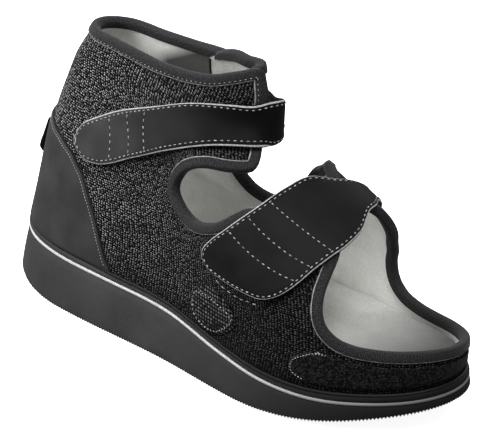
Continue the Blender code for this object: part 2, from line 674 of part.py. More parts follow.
def on_tongue(depth, out):
    return tongue_grid[:, -1] + tongue_down * depth + tongue_normal[:, -1] * out


edge_band("tongue_binding", on_tongue, BINDING_WIDTH, 0.0, TONGUE_THICKNESS, binding_tape)

# Pull tab: a loop of tape standing off the heel counter
tab_rings = []
tab_high = HEEL_TAB["height"][0]
tab_low = HEEL_TAB["height"][-1]
for share in np.linspace(0, 1, 13):
    height = tab_high + (tab_low - tab_high) * share
    standoff = (weights(HEEL_TAB["height"][::-1], height) @ HEEL_TAB["standoff"][::-1])[0]
    wide = np.linalg.norm(on_last(0.1, height) - on_last(-0.1, height))
    half_turn = 0.1 * TAB_WIDTH / wide
    turn = np.linspace(-half_turn, half_turn, 5)
    base_out = overlay + COUNTER_THICKNESS + GAP + standoff
    inner = on_last(turn, np.full(5, height), base_out)
    outer = on_last(turn, np.full(5, height), base_out + TAB_THICKNESS)
    tab_rings.append(np.concatenate([inner, outer[::-1]]) + (0, 0, GAP))
rings_body("heel_pull_tab", tab_rings, binding_tape, capped="faces")
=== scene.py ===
# Therapy shoe for the right foot: the looks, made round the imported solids.
# A place on the shoe is a turn round the last (0 at the back of the heel, 90 on the outer side,
# 180 at the toe, 270 on the inner side) and a height above the sole's rim in metres.
import math

import bpy
import numpy as np
from mathutils import Matrix, Vector
from mathutils.geometry import delaunay_2d_cdt


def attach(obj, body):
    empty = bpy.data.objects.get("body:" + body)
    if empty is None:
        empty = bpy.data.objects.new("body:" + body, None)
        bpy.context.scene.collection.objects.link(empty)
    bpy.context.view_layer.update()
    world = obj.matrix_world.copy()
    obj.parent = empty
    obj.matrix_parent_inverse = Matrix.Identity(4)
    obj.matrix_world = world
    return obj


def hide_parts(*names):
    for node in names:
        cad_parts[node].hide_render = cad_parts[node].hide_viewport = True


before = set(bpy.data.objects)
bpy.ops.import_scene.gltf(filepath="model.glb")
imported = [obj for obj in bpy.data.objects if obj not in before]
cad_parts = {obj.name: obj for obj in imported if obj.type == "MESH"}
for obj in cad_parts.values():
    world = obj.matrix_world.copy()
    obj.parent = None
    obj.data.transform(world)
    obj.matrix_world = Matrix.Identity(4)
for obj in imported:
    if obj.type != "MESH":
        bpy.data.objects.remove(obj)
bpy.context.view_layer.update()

tau = math.tau


# Shape of the last and of the sole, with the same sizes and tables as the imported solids
def columns(names, *rows):
    return dict(zip(names.split(), np.array(rows, float).T))


shoe = {
    "soleLength": 0.300,
    "ballWidth": 0.107,
    "shaftHeight": 0.150,
    "wall": 0.0028,
    "gap": 0.0003,
    "originAt": 0.116,  # heel back to origin
    "heelBevelLength": 0.051,
    "heelBevelRise": 0.0076,
    "toeSpringStart": 0.181,
    "toeSpringRise": 0.0148,
    "tipShift": 0.063,
    "rimHeight": 0.0043,
    "upperInset": 0.0016,
}
plan = columns(  # half widths as shares of the ball width, stripe height in metres
    "along lateral medial stripe",
    (0.00, 0.654, 0.673, 0.0343),
    (0.06, 0.595, 0.591, 0.0324),
    (0.15, 0.512, 0.479, 0.0307),
    (0.30, 0.439, 0.367, 0.0303),
    (0.45, 0.430, 0.359, 0.0290),
    (0.60, 0.504, 0.439, 0.0222),
    (0.72, 0.592, 0.519, 0.0184),
    (0.84, 0.658, 0.568, 0.0176),
    (0.94, 0.659, 0.668, 0.0190),
    (1.00, 0.682, 0.710, 0.0210),
)
slices = columns(  # level slices of the last above the rim
    "height back front ridge",
    (0.00, 0.005, 0.990, 0.063),
    (0.15, 0.021, 0.988, 0.065),
    (0.30, 0.034, 0.945, 0.080),
    (0.44, 0.049, 0.846, 0.095),
    (0.55, 0.066, 0.748, 0.098),
    (0.64, 0.082, 0.643, 0.080),
    (0.73, 0.098, 0.578, 0.035),
    (0.87, 0.137, 0.557, 0.000),
    (1.00, 0.167, 0.533, 0.000),
)
stations = (0.0, 0.2, 0.45, 0.7, 1.0)
lateralWidth = (
    (1.00, 1.00, 1.00, 1.00, 1.00),
    (0.97, 0.98, 1.00, 1.00, 0.98),
    (0.90, 0.92, 0.95, 0.98, 0.95),
    (0.84, 0.82, 0.86, 0.90, 0.80),
    (0.76, 0.72, 0.76, 0.80, 0.70),
    (0.68, 0.64, 0.68, 0.66, 0.58),
    (0.60, 0.57, 0.61, 0.50, 0.45),
    (0.50, 0.50, 0.50, 0.38, 0.36),
    (0.46, 0.46, 0.46, 0.34, 0.34),
)
medialWidth = (
    (1.00, 1.00, 1.00, 1.00, 1.00),
    (0.97, 0.98, 1.00, 1.00, 0.98),
    (0.90, 0.92, 0.95, 0.95, 0.88),
    (0.84, 0.84, 0.88, 0.81, 0.68),
    (0.76, 0.76, 0.80, 0.68, 0.51),
    (0.68, 0.69, 0.74, 0.57, 0.44),
    (0.60, 0.62, 0.68, 0.50, 0.42),
    (0.50, 0.54, 0.56, 0.38, 0.35),
    (0.46, 0.48, 0.50, 0.36, 0.34),
)


def weights(knots, at):  # shares of the knots in a smooth curve through them, a row for each place
    knots = np.asarray(knots, float)
    at = np.atleast_1d(np.asarray(at, float))
    count = len(knots)
    step = np.diff(knots)
    slope = (np.eye(count)[1:] - np.eye(count)[:-1]) / step[:, None]
    tangent = np.empty((count, count))
    tangent[0] = slope[0]
    tangent[-1] = slope[-1]
    before, after = step[:-1, None], step[1:, None]
    tangent[1:-1] = (slope[:-1] * after + slope[1:] * before) / (before + after)
    cell = np.clip(np.searchsorted(knots, at) - 1, 0, count - 2)
    part = np.clip((at - knots[cell]) / step[cell], 0, 1)[:, None]
    width = step[cell][:, None]
    start, end = np.eye(count)[cell], np.eye(count)[cell + 1]
    return (
        (2 * part**3 - 3 * part**2 + 1) * start
        + (part**3 - 2 * part**2 + part) * width * tangent[cell]
        + (3 * part**2 - 2 * part**3) * end
        + (part**3 - part**2) * width * tangent[cell + 1]
    )


def stripeHeight(x):
    return weights(plan["along"], x / shoe["soleLength"]) @ plan["stripe"]


def rimHeight(x):
    return stripeHeight(x) + shoe["rimHeight"]


def floorHeight(x):
    bevel = np.clip(1 - x / shoe["heelBevelLength"], 0, None)
    start = shoe["toeSpringStart"]
    spring = np.clip((x - start) / (shoe["soleLength"] - start), 0, None)
    return shoe["heelBevelRise"] * bevel**2 + shoe["toeSpringRise"] * spring**2


def halfWidths(along):
    share = weights(plan["along"], along)
    return share @ plan["lateral"] * shoe["ballWidth"], share @ plan["medial"] * shoe["ballWidth"]


def solePlan(turn, out):  # the sole's outline seen from above, moved out
    def curve(angle):
        along = (1 - np.cos(angle)) / 2
        lateral, medial = halfWidths(along)
        ease = np.clip((along - 0.6) / 0.4, 0, 1) ** 2
        side = np.where(np.sin(angle) > 0, lateral, medial)
        shift = ease * shoe["tipShift"] * shoe["ballWidth"]
        return np.stack([along * shoe["soleLength"], shift - np.sin(angle) * side], axis=1)

    ahead, behind = curve(turn + 1e-4), curve(turn - 1e-4)
    tangent = (ahead - behind) / np.linalg.norm(ahead - behind, axis=1)[:, None]
    outward = np.stack([tangent[:, 1], -tangent[:, 0]], axis=1)
    return curve(turn) + outward * np.asarray(out).reshape(-1, 1)


def lastPoint(turn, height):
    level = weights(slices["height"], height / shoe["shaftHeight"])
    along = (1 - np.cos(turn)) / 2
    station = weights(stations, along)
    sine = np.sin(turn)
    lateral, medial = halfWidths(along)
    inset = shoe["upperInset"]
    lateral = (lateral - inset) * np.einsum("ni,ij,nj->n", level, lateralWidth, station)
    medial = (medial - inset) * np.einsum("ni,ij,nj->n", level, medialWidth, station)
    back = level @ slices["back"] * shoe["soleLength"]
    front = level @ slices["front"] * shoe["soleLength"]
    ease = np.clip((along - 0.6) / 0.4, 0, 1) ** 2
    x = back + (front - back) * along
    side = np.where(sine > 0, lateral, medial)
    y = ease * (level @ slices["ridge"]) * shoe["ballWidth"] - sine * side
    return np.stack([x, y, rimHeight(x) + height], axis=1)


def onLast(turn, height, out=0.0):  # points a distance out from the last
    turn, height = np.broadcast_arrays(
        np.asarray(turn, float).ravel(), np.asarray(height, float).ravel()
    )
    step = 1e-4
    around = lastPoint(turn + step, height) - lastPoint(turn - step, height)
    low, high = np.clip(height - step, 0, None), height + step
    upward = lastPoint(turn, high) - lastPoint(turn, low)
    normal = np.cross(around, upward)
    normal /= np.linalg.norm(normal, axis=1)[:, None]
    level = np.clip(height / 0.012, 0, 1)
    normal[:, 2] *= level * level * (3 - 2 * level)  # level at the rim, where a piece sits flat
    return lastPoint(turn, height) + normal * np.asarray(out, float).reshape(-1, 1)


# Free edge of the upper, from the back of the collar over the outer side
lateralCollar = (
    (0, 0.1288), (25, 0.1302), (50, 0.1306), (70, 0.1295), (90, 0.1285), (108, 0.1290),
    (122, 0.1315), (138, 0.1370), (156, 0.1415), (173, 0.1430),
)
lateralFront = ((169, 0.1350), (167, 0.1270), (160, 0.1140), (150, 0.1025), (141, 0.0955))
lateralNotch = (
    (129, 0.0940), (118, 0.0925), (109, 0.0890), (100, 0.0835), (94, 0.0770), (90.3, 0.0710),
    (89, 0.0665), (89.4, 0.0630), (91, 0.0592), (93.6, 0.0575), (97, 0.0585), (101.5, 0.0620),
    (109, 0.0680), (117, 0.0750),
)
lateralWing = ((126, 0.0810), (136, 0.0830), (146, 0.0800), (153, 0.0715))
toeOpening = (
    (149, 0.0675), (143, 0.0612), (137.8, 0.0540), (134.6, 0.0465), (133.6, 0.0400),
    (134.4, 0.0350), (137, 0.0300), (142, 0.0268), (150, 0.0248), (160, 0.0234), (172, 0.0216),
    (185, 0.0193), (200, 0.0168), (212, 0.0153), (222, 0.0150), (230, 0.0158), (235.5, 0.0178),
    (238.5, 0.0222), (239.4, 0.0290), (238.4, 0.0372), (232, 0.0506),
)
medialWing = (
    (214, 0.0700), (200, 0.0790), (190, 0.0825), (184, 0.0855), (186, 0.0915), (200, 0.0935),
    (217, 0.0900), (231, 0.0845), (246, 0.0755), (254, 0.0665),
)
medialNotch = (
    (261, 0.0530), (267.5, 0.0440), (273, 0.0420), (277, 0.0440), (279.5, 0.0500), (281, 0.0600),
    (278, 0.0730), (267, 0.0850), (256, 0.0950),
)
medialFront = ((245, 0.1050), (237, 0.1160), (231, 0.1270), (230, 0.1350))
medialCollar = (
    (238, 0.1318), (250, 0.1278), (276, 0.1253), (303, 0.1250), (337, 0.1266), (360, 0.1288),
)


# Lines and sheets on the last
def cumulative(points):
    return np.r_[0, np.cumsum(np.linalg.norm(np.diff(points, axis=0), axis=1))]


def smoothLine(rows, rounding, step, around=False):  # rows of turn and height in even steps
    rows = np.array(rows, float)
    rows[:, 0] = np.radians(rows[:, 0])
    turnBack = np.array([tau, 0.0])
    if around:
        rows = np.concatenate([rows[:-1] - turnBack, rows, rows[1:] + turnBack])
    length = cumulative(onLast(rows[:, 0], rows[:, 1]))
    fine = np.arange(0, length[-1], 0.0005)
    line = np.stack([np.interp(fine, length, rows[:, i]) for i in (0, 1)], axis=1)
    window = max(1, round(rounding / 0.0005)) | 1
    for _ in range(2):
        pad = window // 2
        before, after = np.repeat(line[:1], pad, axis=0), np.repeat(line[-1:], pad, axis=0)
        wide = np.concatenate([before, line, after])
        total = np.cumsum(np.concatenate([np.zeros((1, 2)), wide]), axis=0)
        line = (total[window:] - total[:-window]) / window
    if around:
        middle = (line[:, 0] >= 0) & (line[:, 0] <= tau)
        first, last = np.argmax(middle), len(middle) - 1 - np.argmax(middle[::-1])
        startHeight = np.interp(0, *line[first - 1 : first + 1].T)
        line = np.concatenate([[(0, startHeight)], line[first:last], [(tau, startHeight)]])
    length = cumulative(onLast(line[:, 0], line[:, 1]))
    places = np.linspace(0, length[-1], round(length[-1] / step) + 1)
    return np.stack([np.interp(places, length, line[:, i]) for i in (0, 1)], axis=1)


def inward(line, distance, closed=False):  # the line moved over the last to its right-hand side
    step = 1e-4
    turn, height = line[:, 0], line[:, 1]
    spots = onLast(turn, height)
    if closed:
        along = np.roll(spots, -1, axis=0) - np.roll(spots, 1, axis=0)
    else:
        along = np.gradient(spots, axis=0)
    around = (onLast(turn + step, height) - onLast(turn - step, height)) / (2 * step)
    upward = (onLast(turn, height + step) - onLast(turn, height - step)) / (2 * step)
    aim = np.cross(along, np.cross(around, upward))
    aim *= distance / np.linalg.norm(aim, axis=1)[:, None]
    moved = [
        np.linalg.lstsq(np.stack(pair, axis=1), way, rcond=None)[0]
        for *pair, way in zip(around, upward, aim)
    ]
    return line + np.array(moved)


def inside(outline, spots):
    found = np.zeros(len(spots), bool)
    for (x0, y0), (x1, y1) in zip(outline, np.roll(outline, -1, axis=0)):
        crosses = (y0 > spots[:, 1]) != (y1 > spots[:, 1])
        place = (x1 - x0) * (spots[:, 1] - y0) / (y1 - y0 if y1 != y0 else 1) + x0
        found ^= crosses & (spots[:, 0] < place)
    return found


# Triangles inside a closed outline. Loops are more closed lines kept in it. Gives the spots,
# the faces and, for each spot, the number of its loop, which is -1 for a spot between them.
def triangles(outline, grid, spacing, toPoints, loops=(), scale=(1.0, 1.0)):
    scale = np.array(scale)
    rings = [outline, *loops]
    fixed = np.concatenate(rings)
    number = np.concatenate([np.full(len(ring), i) for i, ring in enumerate(rings)])
    edges, start = [], 0
    for ring in rings:
        count = len(ring)
        edges += [(start + j, start + (j + 1) % count) for j in range(count)]
        start += count
    grid = grid[inside(outline, grid)]
    fixedPoints, points = toPoints(fixed), toPoints(grid)
    nearest = np.array([((fixedPoints - point) ** 2).sum(axis=1).min() for point in points])
    spots = np.concatenate([fixed, grid[nearest > (spacing * 0.55) ** 2]])
    made, _, faces, origins, _, _ = delaunay_2d_cdt(
        [tuple(spot) for spot in spots * scale], edges, [], 0, 1e-9
    )
    made = np.array([tuple(point) for point in made]) / scale
    number = np.concatenate([number, np.full(len(spots) - len(fixed), -1)])
    number = np.array([min((number[i] for i in ids if number[i] >= 0), default=-1) for ids in origins])
    faces = np.array([face for face in faces if len(face) == 3])
    faces = faces[inside(outline, made[faces].mean(axis=1))]
    corner = made[faces] * scale
    turned = np.cross(corner[:, 1] - corner[:, 0], corner[:, 2] - corner[:, 0]) < 0
    faces[turned] = faces[turned][:, ::-1]
    return made, faces, number


def lastGrid(outline, spacing):  # spots of even spacing on the last round an outline
    lows, highs = outline.min(axis=0), outline.max(axis=0)
    rows = int(np.ceil((highs[1] - lows[1]) / spacing))
    grid = []
    for i, height in enumerate(np.linspace(lows[1], highs[1], rows + 1)[1:-1]):
        turns = np.linspace(lows[0], highs[0], 91)
        reach = cumulative(onLast(turns, np.full(91, height)))
        places = np.arange(spacing * (0.5 + 0.5 * (i % 2)), reach[-1], spacing)
        grid += [(turn, height) for turn in np.interp(places, reach, turns)]
    return np.array(grid).reshape(-1, 2)


turnScale = (0.075, 1.0)  # about how many metres a radian is on the last, so that triangles are even

# Where a spot of the last lies on flat cloth: metres round from the middle of its side, and up
clothTurns = np.linspace(-0.2, tau + 0.2, 421)
clothHeights = np.linspace(0, 0.150, 41)
clothPoints = np.stack([onLast(clothTurns, np.full(421, height)) for height in clothHeights])
clothAround = np.stack([cumulative(row) for row in clothPoints])
clothUp = np.stack([cumulative(row) for row in clothPoints.transpose(1, 0, 2)]).T


def flatCloth(turn, height, lateral):
    def read(field, t, h):
        i = np.clip((t - clothTurns[0]) / (clothTurns[1] - clothTurns[0]), 0, 419.999)
        j = np.clip(h / (clothHeights[1] - clothHeights[0]), 0, 39.999)
        a, b = i.astype(int), j.astype(int)
        p, q = i - a, j - b
        low = field[b, a] * (1 - p) + field[b, a + 1] * p
        high = field[b + 1, a] * (1 - p) + field[b + 1, a + 1] * p
        return low * (1 - q) + high * q

    middle = np.where(lateral, math.pi / 2, math.pi * 1.5)
    across = read(clothAround, turn, height) - read(clothAround, middle, height)
    return np.stack([across, read(clothUp, turn, height)], axis=-1)


# Meshes
def makePiece(name, points, faces, finishes, slot, nodes=(), uv=None, faceFinish=None, sharp=40):
    points = np.asarray(points, float) - (shoe["originAt"], 0.0, 0.0)
    mesh = bpy.data.meshes.new(name)
    mesh.from_pydata(points.tolist(), [], [[int(i) for i in face] for face in faces])
    for finish in finishes:
        mesh.materials.append(finish)
    if faceFinish is not None:
        mesh.polygons.foreach_set("material_index", np.asarray(faceFinish, np.int32))
    layer = mesh.uv_layers.new(name="clothMap")
    corners = np.empty(len(mesh.loops), np.int32)
    mesh.loops.foreach_get("vertex_index", corners)
    if uv is None:
        uv = np.zeros((len(points), 2))
    uv = np.asarray(uv, float)
    flat = uv if len(uv) == len(corners) and len(uv) != len(points) else uv[corners]
    layer.data.foreach_set("uv", (flat * 1000).astype(np.float32).ravel())  # millimetres
    mesh.calc_loop_triangles()
    index = np.empty(len(mesh.loop_triangles) * 3, np.int32)
    mesh.loop_triangles.foreach_get("vertices", index)
    corner = points[index.reshape(-1, 3)]
    if np.einsum("ij,ij->", corner[:, 0], np.cross(corner[:, 1], corner[:, 2])) < 0:
        mesh.flip_normals()
    mesh.shade_smooth()
    mesh.set_sharp_from_angle(angle=math.radians(sharp))
    piece = bpy.data.objects.new(name, mesh)
    bpy.context.scene.collection.objects.link(piece)
    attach(piece, "root")
    if nodes:
        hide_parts(*nodes)
    return piece


def ringFaces(rings, count, closed=False, capped=True):  # walls between rings, and flat ends
    faces = []
    for low in range(rings if closed else rings - 1):
        high = (low + 1) % rings
        for i in range(count):
            j = (i + 1) % count
            faces.append((low * count + i, low * count + j, high * count + j, high * count + i))
    if capped and not closed:
        faces.append(tuple(range(count))[::-1])
        faces.append(tuple((rings - 1) * count + i for i in range(count)))
    return faces


def skinFaces(faces, count):  # one layer of triangles and its copy above, joined at the rim
    top = [tuple(int(p) + count for p in face) for face in faces]
    bottom = [tuple(int(p) for p in face[::-1]) for face in faces]
    edges = {(a, b) for face in top for a, b in zip(face, face[1:] + face[:1])}
    sides = [(a, a - count, b - count, b) for a, b in sorted(edges) if (b, a) not in edges]
    return top, bottom, sides


# Stitches: short bars of thread along a line, sunk at both ends, all joined in one mesh
def stitchRow(line, normals, length, pitch, radius, lift=0.0, holes=False):
    reach = cumulative(line)
    count = max(1, int(reach[-1] / pitch))
    centres = (np.arange(1, count) if holes else np.arange(count) + 0.5) * reach[-1] / count
    shape = np.array([  # place along a bar, thickness and rise, as shares
        (-0.5, 0.25, -0.9), (-0.36, 0.85, -0.1), (0, 1, 0.15), (0.36, 0.85, -0.1), (0.5, 0.25, -0.9),
    ])
    at = (centres[:, None] + shape[:, 0] * length).ravel()
    _, size, rise = np.tile(shape, (len(centres), 1)).T

    def read(field, places):
        return np.stack([np.interp(places, reach, column) for column in field.T], axis=1)

    up = read(normals, at)
    up /= np.linalg.norm(up, axis=1)[:, None]
    along = read(line, at + 1e-4) - read(line, at - 1e-4)
    along /= np.maximum(np.linalg.norm(along, axis=1), 1e-12)[:, None]
    angles = tau * np.arange(6)[:, None] / 6
    circle = np.cross(along, up)[:, None] * np.cos(angles) + up[:, None] * np.sin(angles)
    middle = read(line, at) + up * (lift + rise * radius)[:, None]
    points = (middle[:, None] + circle * (radius * size)[:, None, None]).reshape(-1, 3)
    bar = ringFaces(5, 6)
    faces = [tuple(start + i for i in face) for start in range(0, len(points), 30) for face in bar]
    return list(points), faces


def joinParts(parts):  # (points, faces) pairs as one
    points, faces = [], []
    for partPoints, partFaces in parts:
        start = len(points)
        points += list(partPoints)
        faces += [tuple(start + i for i in face) for face in partFaces]
    return points, faces


def cordAlong(line, normals, radius, sides=6, closed=False):  # a thin round cord on a line
    along = np.gradient(line, axis=0)
    if closed:
        along = np.roll(line, -1, axis=0) - np.roll(line, 1, axis=0)
    along /= np.linalg.norm(along, axis=1)[:, None]
    side = np.cross(along, normals)
    side /= np.linalg.norm(side, axis=1)[:, None]
    up = np.cross(side, along)
    angles = tau * np.arange(sides) / sides
    circle = side[:, None] * np.cos(angles)[None, :, None] + up[:, None] * np.sin(angles)[None, :, None]
    points = (line[:, None] + circle * np.reshape(radius, (-1, 1, 1))).reshape(-1, 3)
    return list(points), ringFaces(len(line), sides, closed)


def lastNormals(turn, height):
    way = onLast(turn, height, 1.0) - onLast(turn, height, 0.0)
    return way / np.linalg.norm(way, axis=1)[:, None]


# Materials. Colours are sRGB hex values, and sizes in patterns are real millimetres.
def srgb(code):
    values = [int(code[i : i + 2], 16) / 255 for i in (1, 3, 5)]
    return (*(v / 12.92 if v <= 0.04045 else ((v + 0.055) / 1.055) ** 2.4 for v in values), 1.0)


def addNode(tree, kind, settings=None, links=None):  # a node with its settings and links
    node = tree.nodes.new("ShaderNode" + kind)
    for key, value in (settings or {}).items():
        if isinstance(key, int) or key in node.inputs:
            node.inputs[key].default_value = value
        else:
            setattr(node, key, value)
    for key, source in (links or {}).items():
        tree.links.new(getattr(source, "outputs", [source])[0], node.inputs[key])
    return node


def startMaterial(name, shaderSettings):
    material = bpy.data.materials.new(name)
    material.use_nodes = True
    tree = material.node_tree
    tree.nodes.clear()
    shader = addNode(tree, "BsdfPrincipled", shaderSettings)
    addNode(tree, "OutputMaterial", links={"Surface": shader})
    return material, tree, shader


def spotsInMm(tree):  # the surface's own place in millimetres
    place = addNode(tree, "TexCoord")
    return addNode(tree, "VectorMath", {"operation": "SCALE", 3: 1000.0}, {0: place.outputs["Object"]})


# painted shade: every use of this darkens a colour along one axis
def paintShadeTo(tree, colour, code, value, start, end):  # the colour turns to another between two values
    share = addNode(tree, "MapRange", {"From Min": float(start), "From Max": float(end)}, {"Value": value})
    mix = addNode(tree, "Mix", {"data_type": "RGBA", 7: srgb(code)}, {0: share, 6: colour})
    return mix.outputs[2]


rubberLook = {
    # the toe colour and its start and end in millimetres paint shade towards the toe
    "dark": "#2b2b2c", "light": "#3b3b3c", "toe": "#0e0e0f", "toeShadeFromMm": 10, "toeShadeToMm": 165,
    "grainMm": 0.7, "cloudMm": 28,
}


def mouldedRubber():  # foamed rubber from a mould: matt, a fine grain, faint clouds, painted shade towards the toe
    material, tree, shader = startMaterial("mouldedFoamRubber", {
        "Roughness": 0.75, "IOR": 1.5, "Specular IOR Level": 0.2,
    })
    place = spotsInMm(tree)
    grain = addNode(tree, "TexNoise", {"Scale": 1 / rubberLook["grainMm"], "Detail": 3.0}, {"Vector": place})
    cloud = addNode(tree, "TexNoise", {"Scale": 1 / rubberLook["cloudMm"], "Detail": 2.0}, {"Vector": place})
    both = addNode(tree, "Math", {"operation": "MULTIPLY", 1: 0.5}, {0: grain})
    total = addNode(tree, "Math", {"operation": "MULTIPLY_ADD", 1: 0.5}, {0: cloud, 2: both})
    tone = addNode(tree, "MapRange", {"From Min": 0.34, "From Max": 0.66}, {"Value": total})
    mix = addNode(tree, "Mix", {
        "data_type": "RGBA", 6: srgb(rubberLook["dark"]), 7: srgb(rubberLook["light"]),
    }, {0: tone})
    axes = addNode(tree, "SeparateXYZ", links={"Vector": place})
    # painted shade: the rubber turns near-black towards the toe
    start, end = rubberLook["toeShadeFromMm"], rubberLook["toeShadeToMm"]
    colour = paintShadeTo(tree, mix.outputs[2], rubberLook["toe"], axes.outputs[0], start, end)
    tree.links.new(colour, shader.inputs["Base Color"])
    bump = addNode(tree, "Bump", {"Strength": 0.5, "Distance": 0.00012}, {"Height": grain})
    tree.links.new(bump.outputs[0], shader.inputs["Normal"])
    return material


def stripeRubber():  # the same rubber, light grey and smoother
    material, tree, shader = startMaterial("lightGreyRubber", {"Roughness": 0.55, "IOR": 1.5})
    place = spotsInMm(tree)
    grain = addNode(tree, "TexNoise", {"Scale": 0.5, "Detail": 3.0}, {"Vector": place})
    tone = addNode(tree, "MapRange", {"From Min": 0.3, "From Max": 0.7}, {"Value": grain})
    mix = addNode(tree, "Mix", {"data_type": "RGBA", 6: srgb("#b2b2b0"), 7: srgb("#cacac7")}, {0: tone})
    axes = addNode(tree, "SeparateXYZ", links={"Vector": place})
    # painted shade: the stripe turns darker grey towards the toe
    colour = paintShadeTo(tree, mix.outputs[2], "#6c6c6a", axes.outputs[0], 60, 170)
    tree.links.new(colour, shader.inputs["Base Color"])
    bump = addNode(tree, "Bump", {"Strength": 0.3, "Distance": 0.00008}, {"Height": grain})
    tree.links.new(bump.outputs[0], shader.inputs["Normal"])
    return material


def treadEdgeRubber():  # the tread's teeth and underside: the same rubber, dark with floor dirt and painted shade, a little shine
    material, tree, shader = startMaterial("treadRubberDirtAndShade", {"Roughness": 0.6, "Specular IOR Level": 0.25})
    place = spotsInMm(tree)
    dirt = addNode(tree, "TexNoise", {"Scale": 0.35, "Detail": 2.0}, {"Vector": place})
    tone = addNode(tree, "MapRange", {"From Min": 0.35, "From Max": 0.65}, {"Value": dirt})
    mix = addNode(tree, "Mix", {"data_type": "RGBA", 6: srgb("#060607"), 7: srgb("#121213")}, {0: tone})
    tree.links.new(mix.outputs[2], shader.inputs["Base Color"])
    return material


shaftShade = {  # the photo's dark stretch of the shaft's inner side; axis 3 is the slanting edge
    "code": "#484847", "slant": -0.5, "edges": ((0, -60, -42), (2, 104, 118), (1, 0, 8), (3, 173, 164)),
}


# Knitted polyester with a short raised pile: no shine, a soft edge, uneven tufts.
def brushedFleece(name, dark, light, pileMm=0.9, shadeFades=(), shade=None):
    material, tree, shader = startMaterial(name, {
        "Roughness": 0.95, "Specular IOR Level": 0.1, "Sheen Weight": 0.2, "Sheen Roughness": 0.5,
    })
    place = spotsInMm(tree)
    pile = addNode(
        tree, "TexNoise", {"Scale": 1 / pileMm, "Detail": 4.0, "Roughness": 0.7}, {"Vector": place}
    )
    tuft = addNode(tree, "TexNoise", {"Scale": 0.12, "Detail": 2.0}, {"Vector": place})
    total = addNode(tree, "Math", {"operation": "MULTIPLY_ADD", 1: 0.3}, {0: tuft, 2: pile})
    tone = addNode(tree, "MapRange", {"From Min": 0.46, "From Max": 0.84}, {"Value": total})
    mix = addNode(tree, "Mix", {"data_type": "RGBA", 6: srgb(dark), 7: srgb(light)}, {0: tone})
    colour = mix.outputs[2]
    axes = addNode(tree, "SeparateXYZ", links={"Vector": place})
    for axis, code, start, end in shadeFades:  # darker along one axis: painted shade
        colour = paintShadeTo(tree, colour, code, axes.outputs[axis], start, end)
    if shade:
        slant = addNode(tree, "Math", {
            "operation": "MULTIPLY_ADD", 1: shade["slant"],
        }, {0: axes.outputs[0], 2: axes.outputs[2]})
        values = [*axes.outputs, slant]
        total = None
        for axis, start, end in shade["edges"]:
            share = addNode(
                tree, "MapRange", {"From Min": float(start), "From Max": float(end)}, {"Value": values[axis]}
            )
            if total:
                share = addNode(tree, "Math", {"operation": "MULTIPLY"}, {0: total, 1: share})
            total = share
        mix = addNode(tree, "Mix", {"data_type": "RGBA", 7: srgb(shade["code"])}, {0: total, 6: colour})
        colour = mix.outputs[2]
    tree.links.new(colour, shader.inputs["Base Color"])
    bump = addNode(tree, "Bump", {"Strength": 0.8, "Distance": 0.0005}, {"Height": pile})
    tree.links.new(bump.outputs[0], shader.inputs["Normal"])
    return material


meshLook = {  # one light speck every so many millimetres, a little larger than the real ones
    "yarn": "#020203", "speck": "#b0b0b0", "acrossMm": 1.95, "upMm": 1.35, "speckSize": 0.27,
    # the toe and foot entries paint shade: the specks dim towards the toe and towards the foot of the upper
    "toeShadeFromMm": -60.0, "toeShadeToMm": 80.0, "toeShadeShare": 0.22,
    "footShadeFromMm": 1.0, "footShadeToMm": 14.0, "footShadeShare": 0.35,
}


# Polyester spacer mesh: black yarn with light filaments in its cells, with painted shade towards the toe and
# the foot.
def wovenMesh(name, look, slant=0.0, loose=0.42):
    material, tree, shader = startMaterial(name, {
        "Roughness": 0.85, "Specular IOR Level": 0.07, "Sheen Weight": 0.02, "Sheen Roughness": 0.4,
    })
    cloth = addNode(tree, "UVMap", {"uv_map": "clothMap"})
    turned = addNode(
        tree, "VectorRotate", {"rotation_type": "Z_AXIS", "Angle": math.radians(slant)}, {"Vector": cloth}
    )
    wobble = addNode(tree, "TexNoise", {"Scale": 0.06, "Detail": 2.0}, {"Vector": cloth})
    shifted = addNode(tree, "VectorMath", {
        "operation": "MULTIPLY_ADD", 1: (5.0 * loose, 6.0 * loose, 0.0),
    }, {0: wobble.outputs["Color"], 2: turned})
    cells = addNode(tree, "VectorMath", {
        "operation": "MULTIPLY", 1: (1 / look["acrossMm"], 1 / look["upMm"], 0.0),
    }, {0: shifted})
    knots = addNode(tree, "TexVoronoi", {
        "voronoi_dimensions": "2D", "Scale": 1.0, "Randomness": loose,
    }, {"Vector": cells})
    speck = addNode(tree, "MapRange", {
        "From Min": look["speckSize"] + 0.05, "From Max": look["speckSize"] - 0.07,
    }, {"Value": knots.outputs["Distance"]})
    uneven = addNode(tree, "SeparateXYZ", links={"Vector": knots.outputs["Color"]})
    bright = addNode(tree, "MapRange", {"To Min": 0.1, "To Max": 1.0}, {"Value": uneven.outputs[0]})
    place = addNode(tree, "SeparateXYZ", links={"Vector": spotsInMm(tree)})
    # painted shade: specks dimmed towards the toe and near the foot of the upper
    toeShadeDim = addNode(tree, "MapRange", {
        "From Min": look["toeShadeFromMm"], "From Max": look["toeShadeToMm"], "To Min": 1.0, "To Max": look["toeShadeShare"],
    }, {"Value": place.outputs[0]})
    flat = addNode(tree, "SeparateXYZ", links={"Vector": cloth})
    foot = addNode(tree, "MapRange", {
        "From Min": look["footShadeFromMm"], "From Max": look["footShadeToMm"], "To Min": look["footShadeShare"],
    }, {"Value": flat.outputs[1]})
    shown = speck
    for share in (bright, toeShadeDim, foot):
        shown = addNode(tree, "Math", {"operation": "MULTIPLY"}, {0: shown, 1: share})
    mix = addNode(tree, "Mix", {
        "data_type": "RGBA", 6: srgb(look["yarn"]), 7: srgb(look["speck"]),
    }, {0: shown})
    tree.links.new(mix.outputs[2], shader.inputs["Base Color"])
    bump = addNode(tree, "Bump", {"Strength": 0.6, "Distance": 0.0003}, {"Height": speck})
    tree.links.new(bump.outputs[0], shader.inputs["Normal"])
    return material
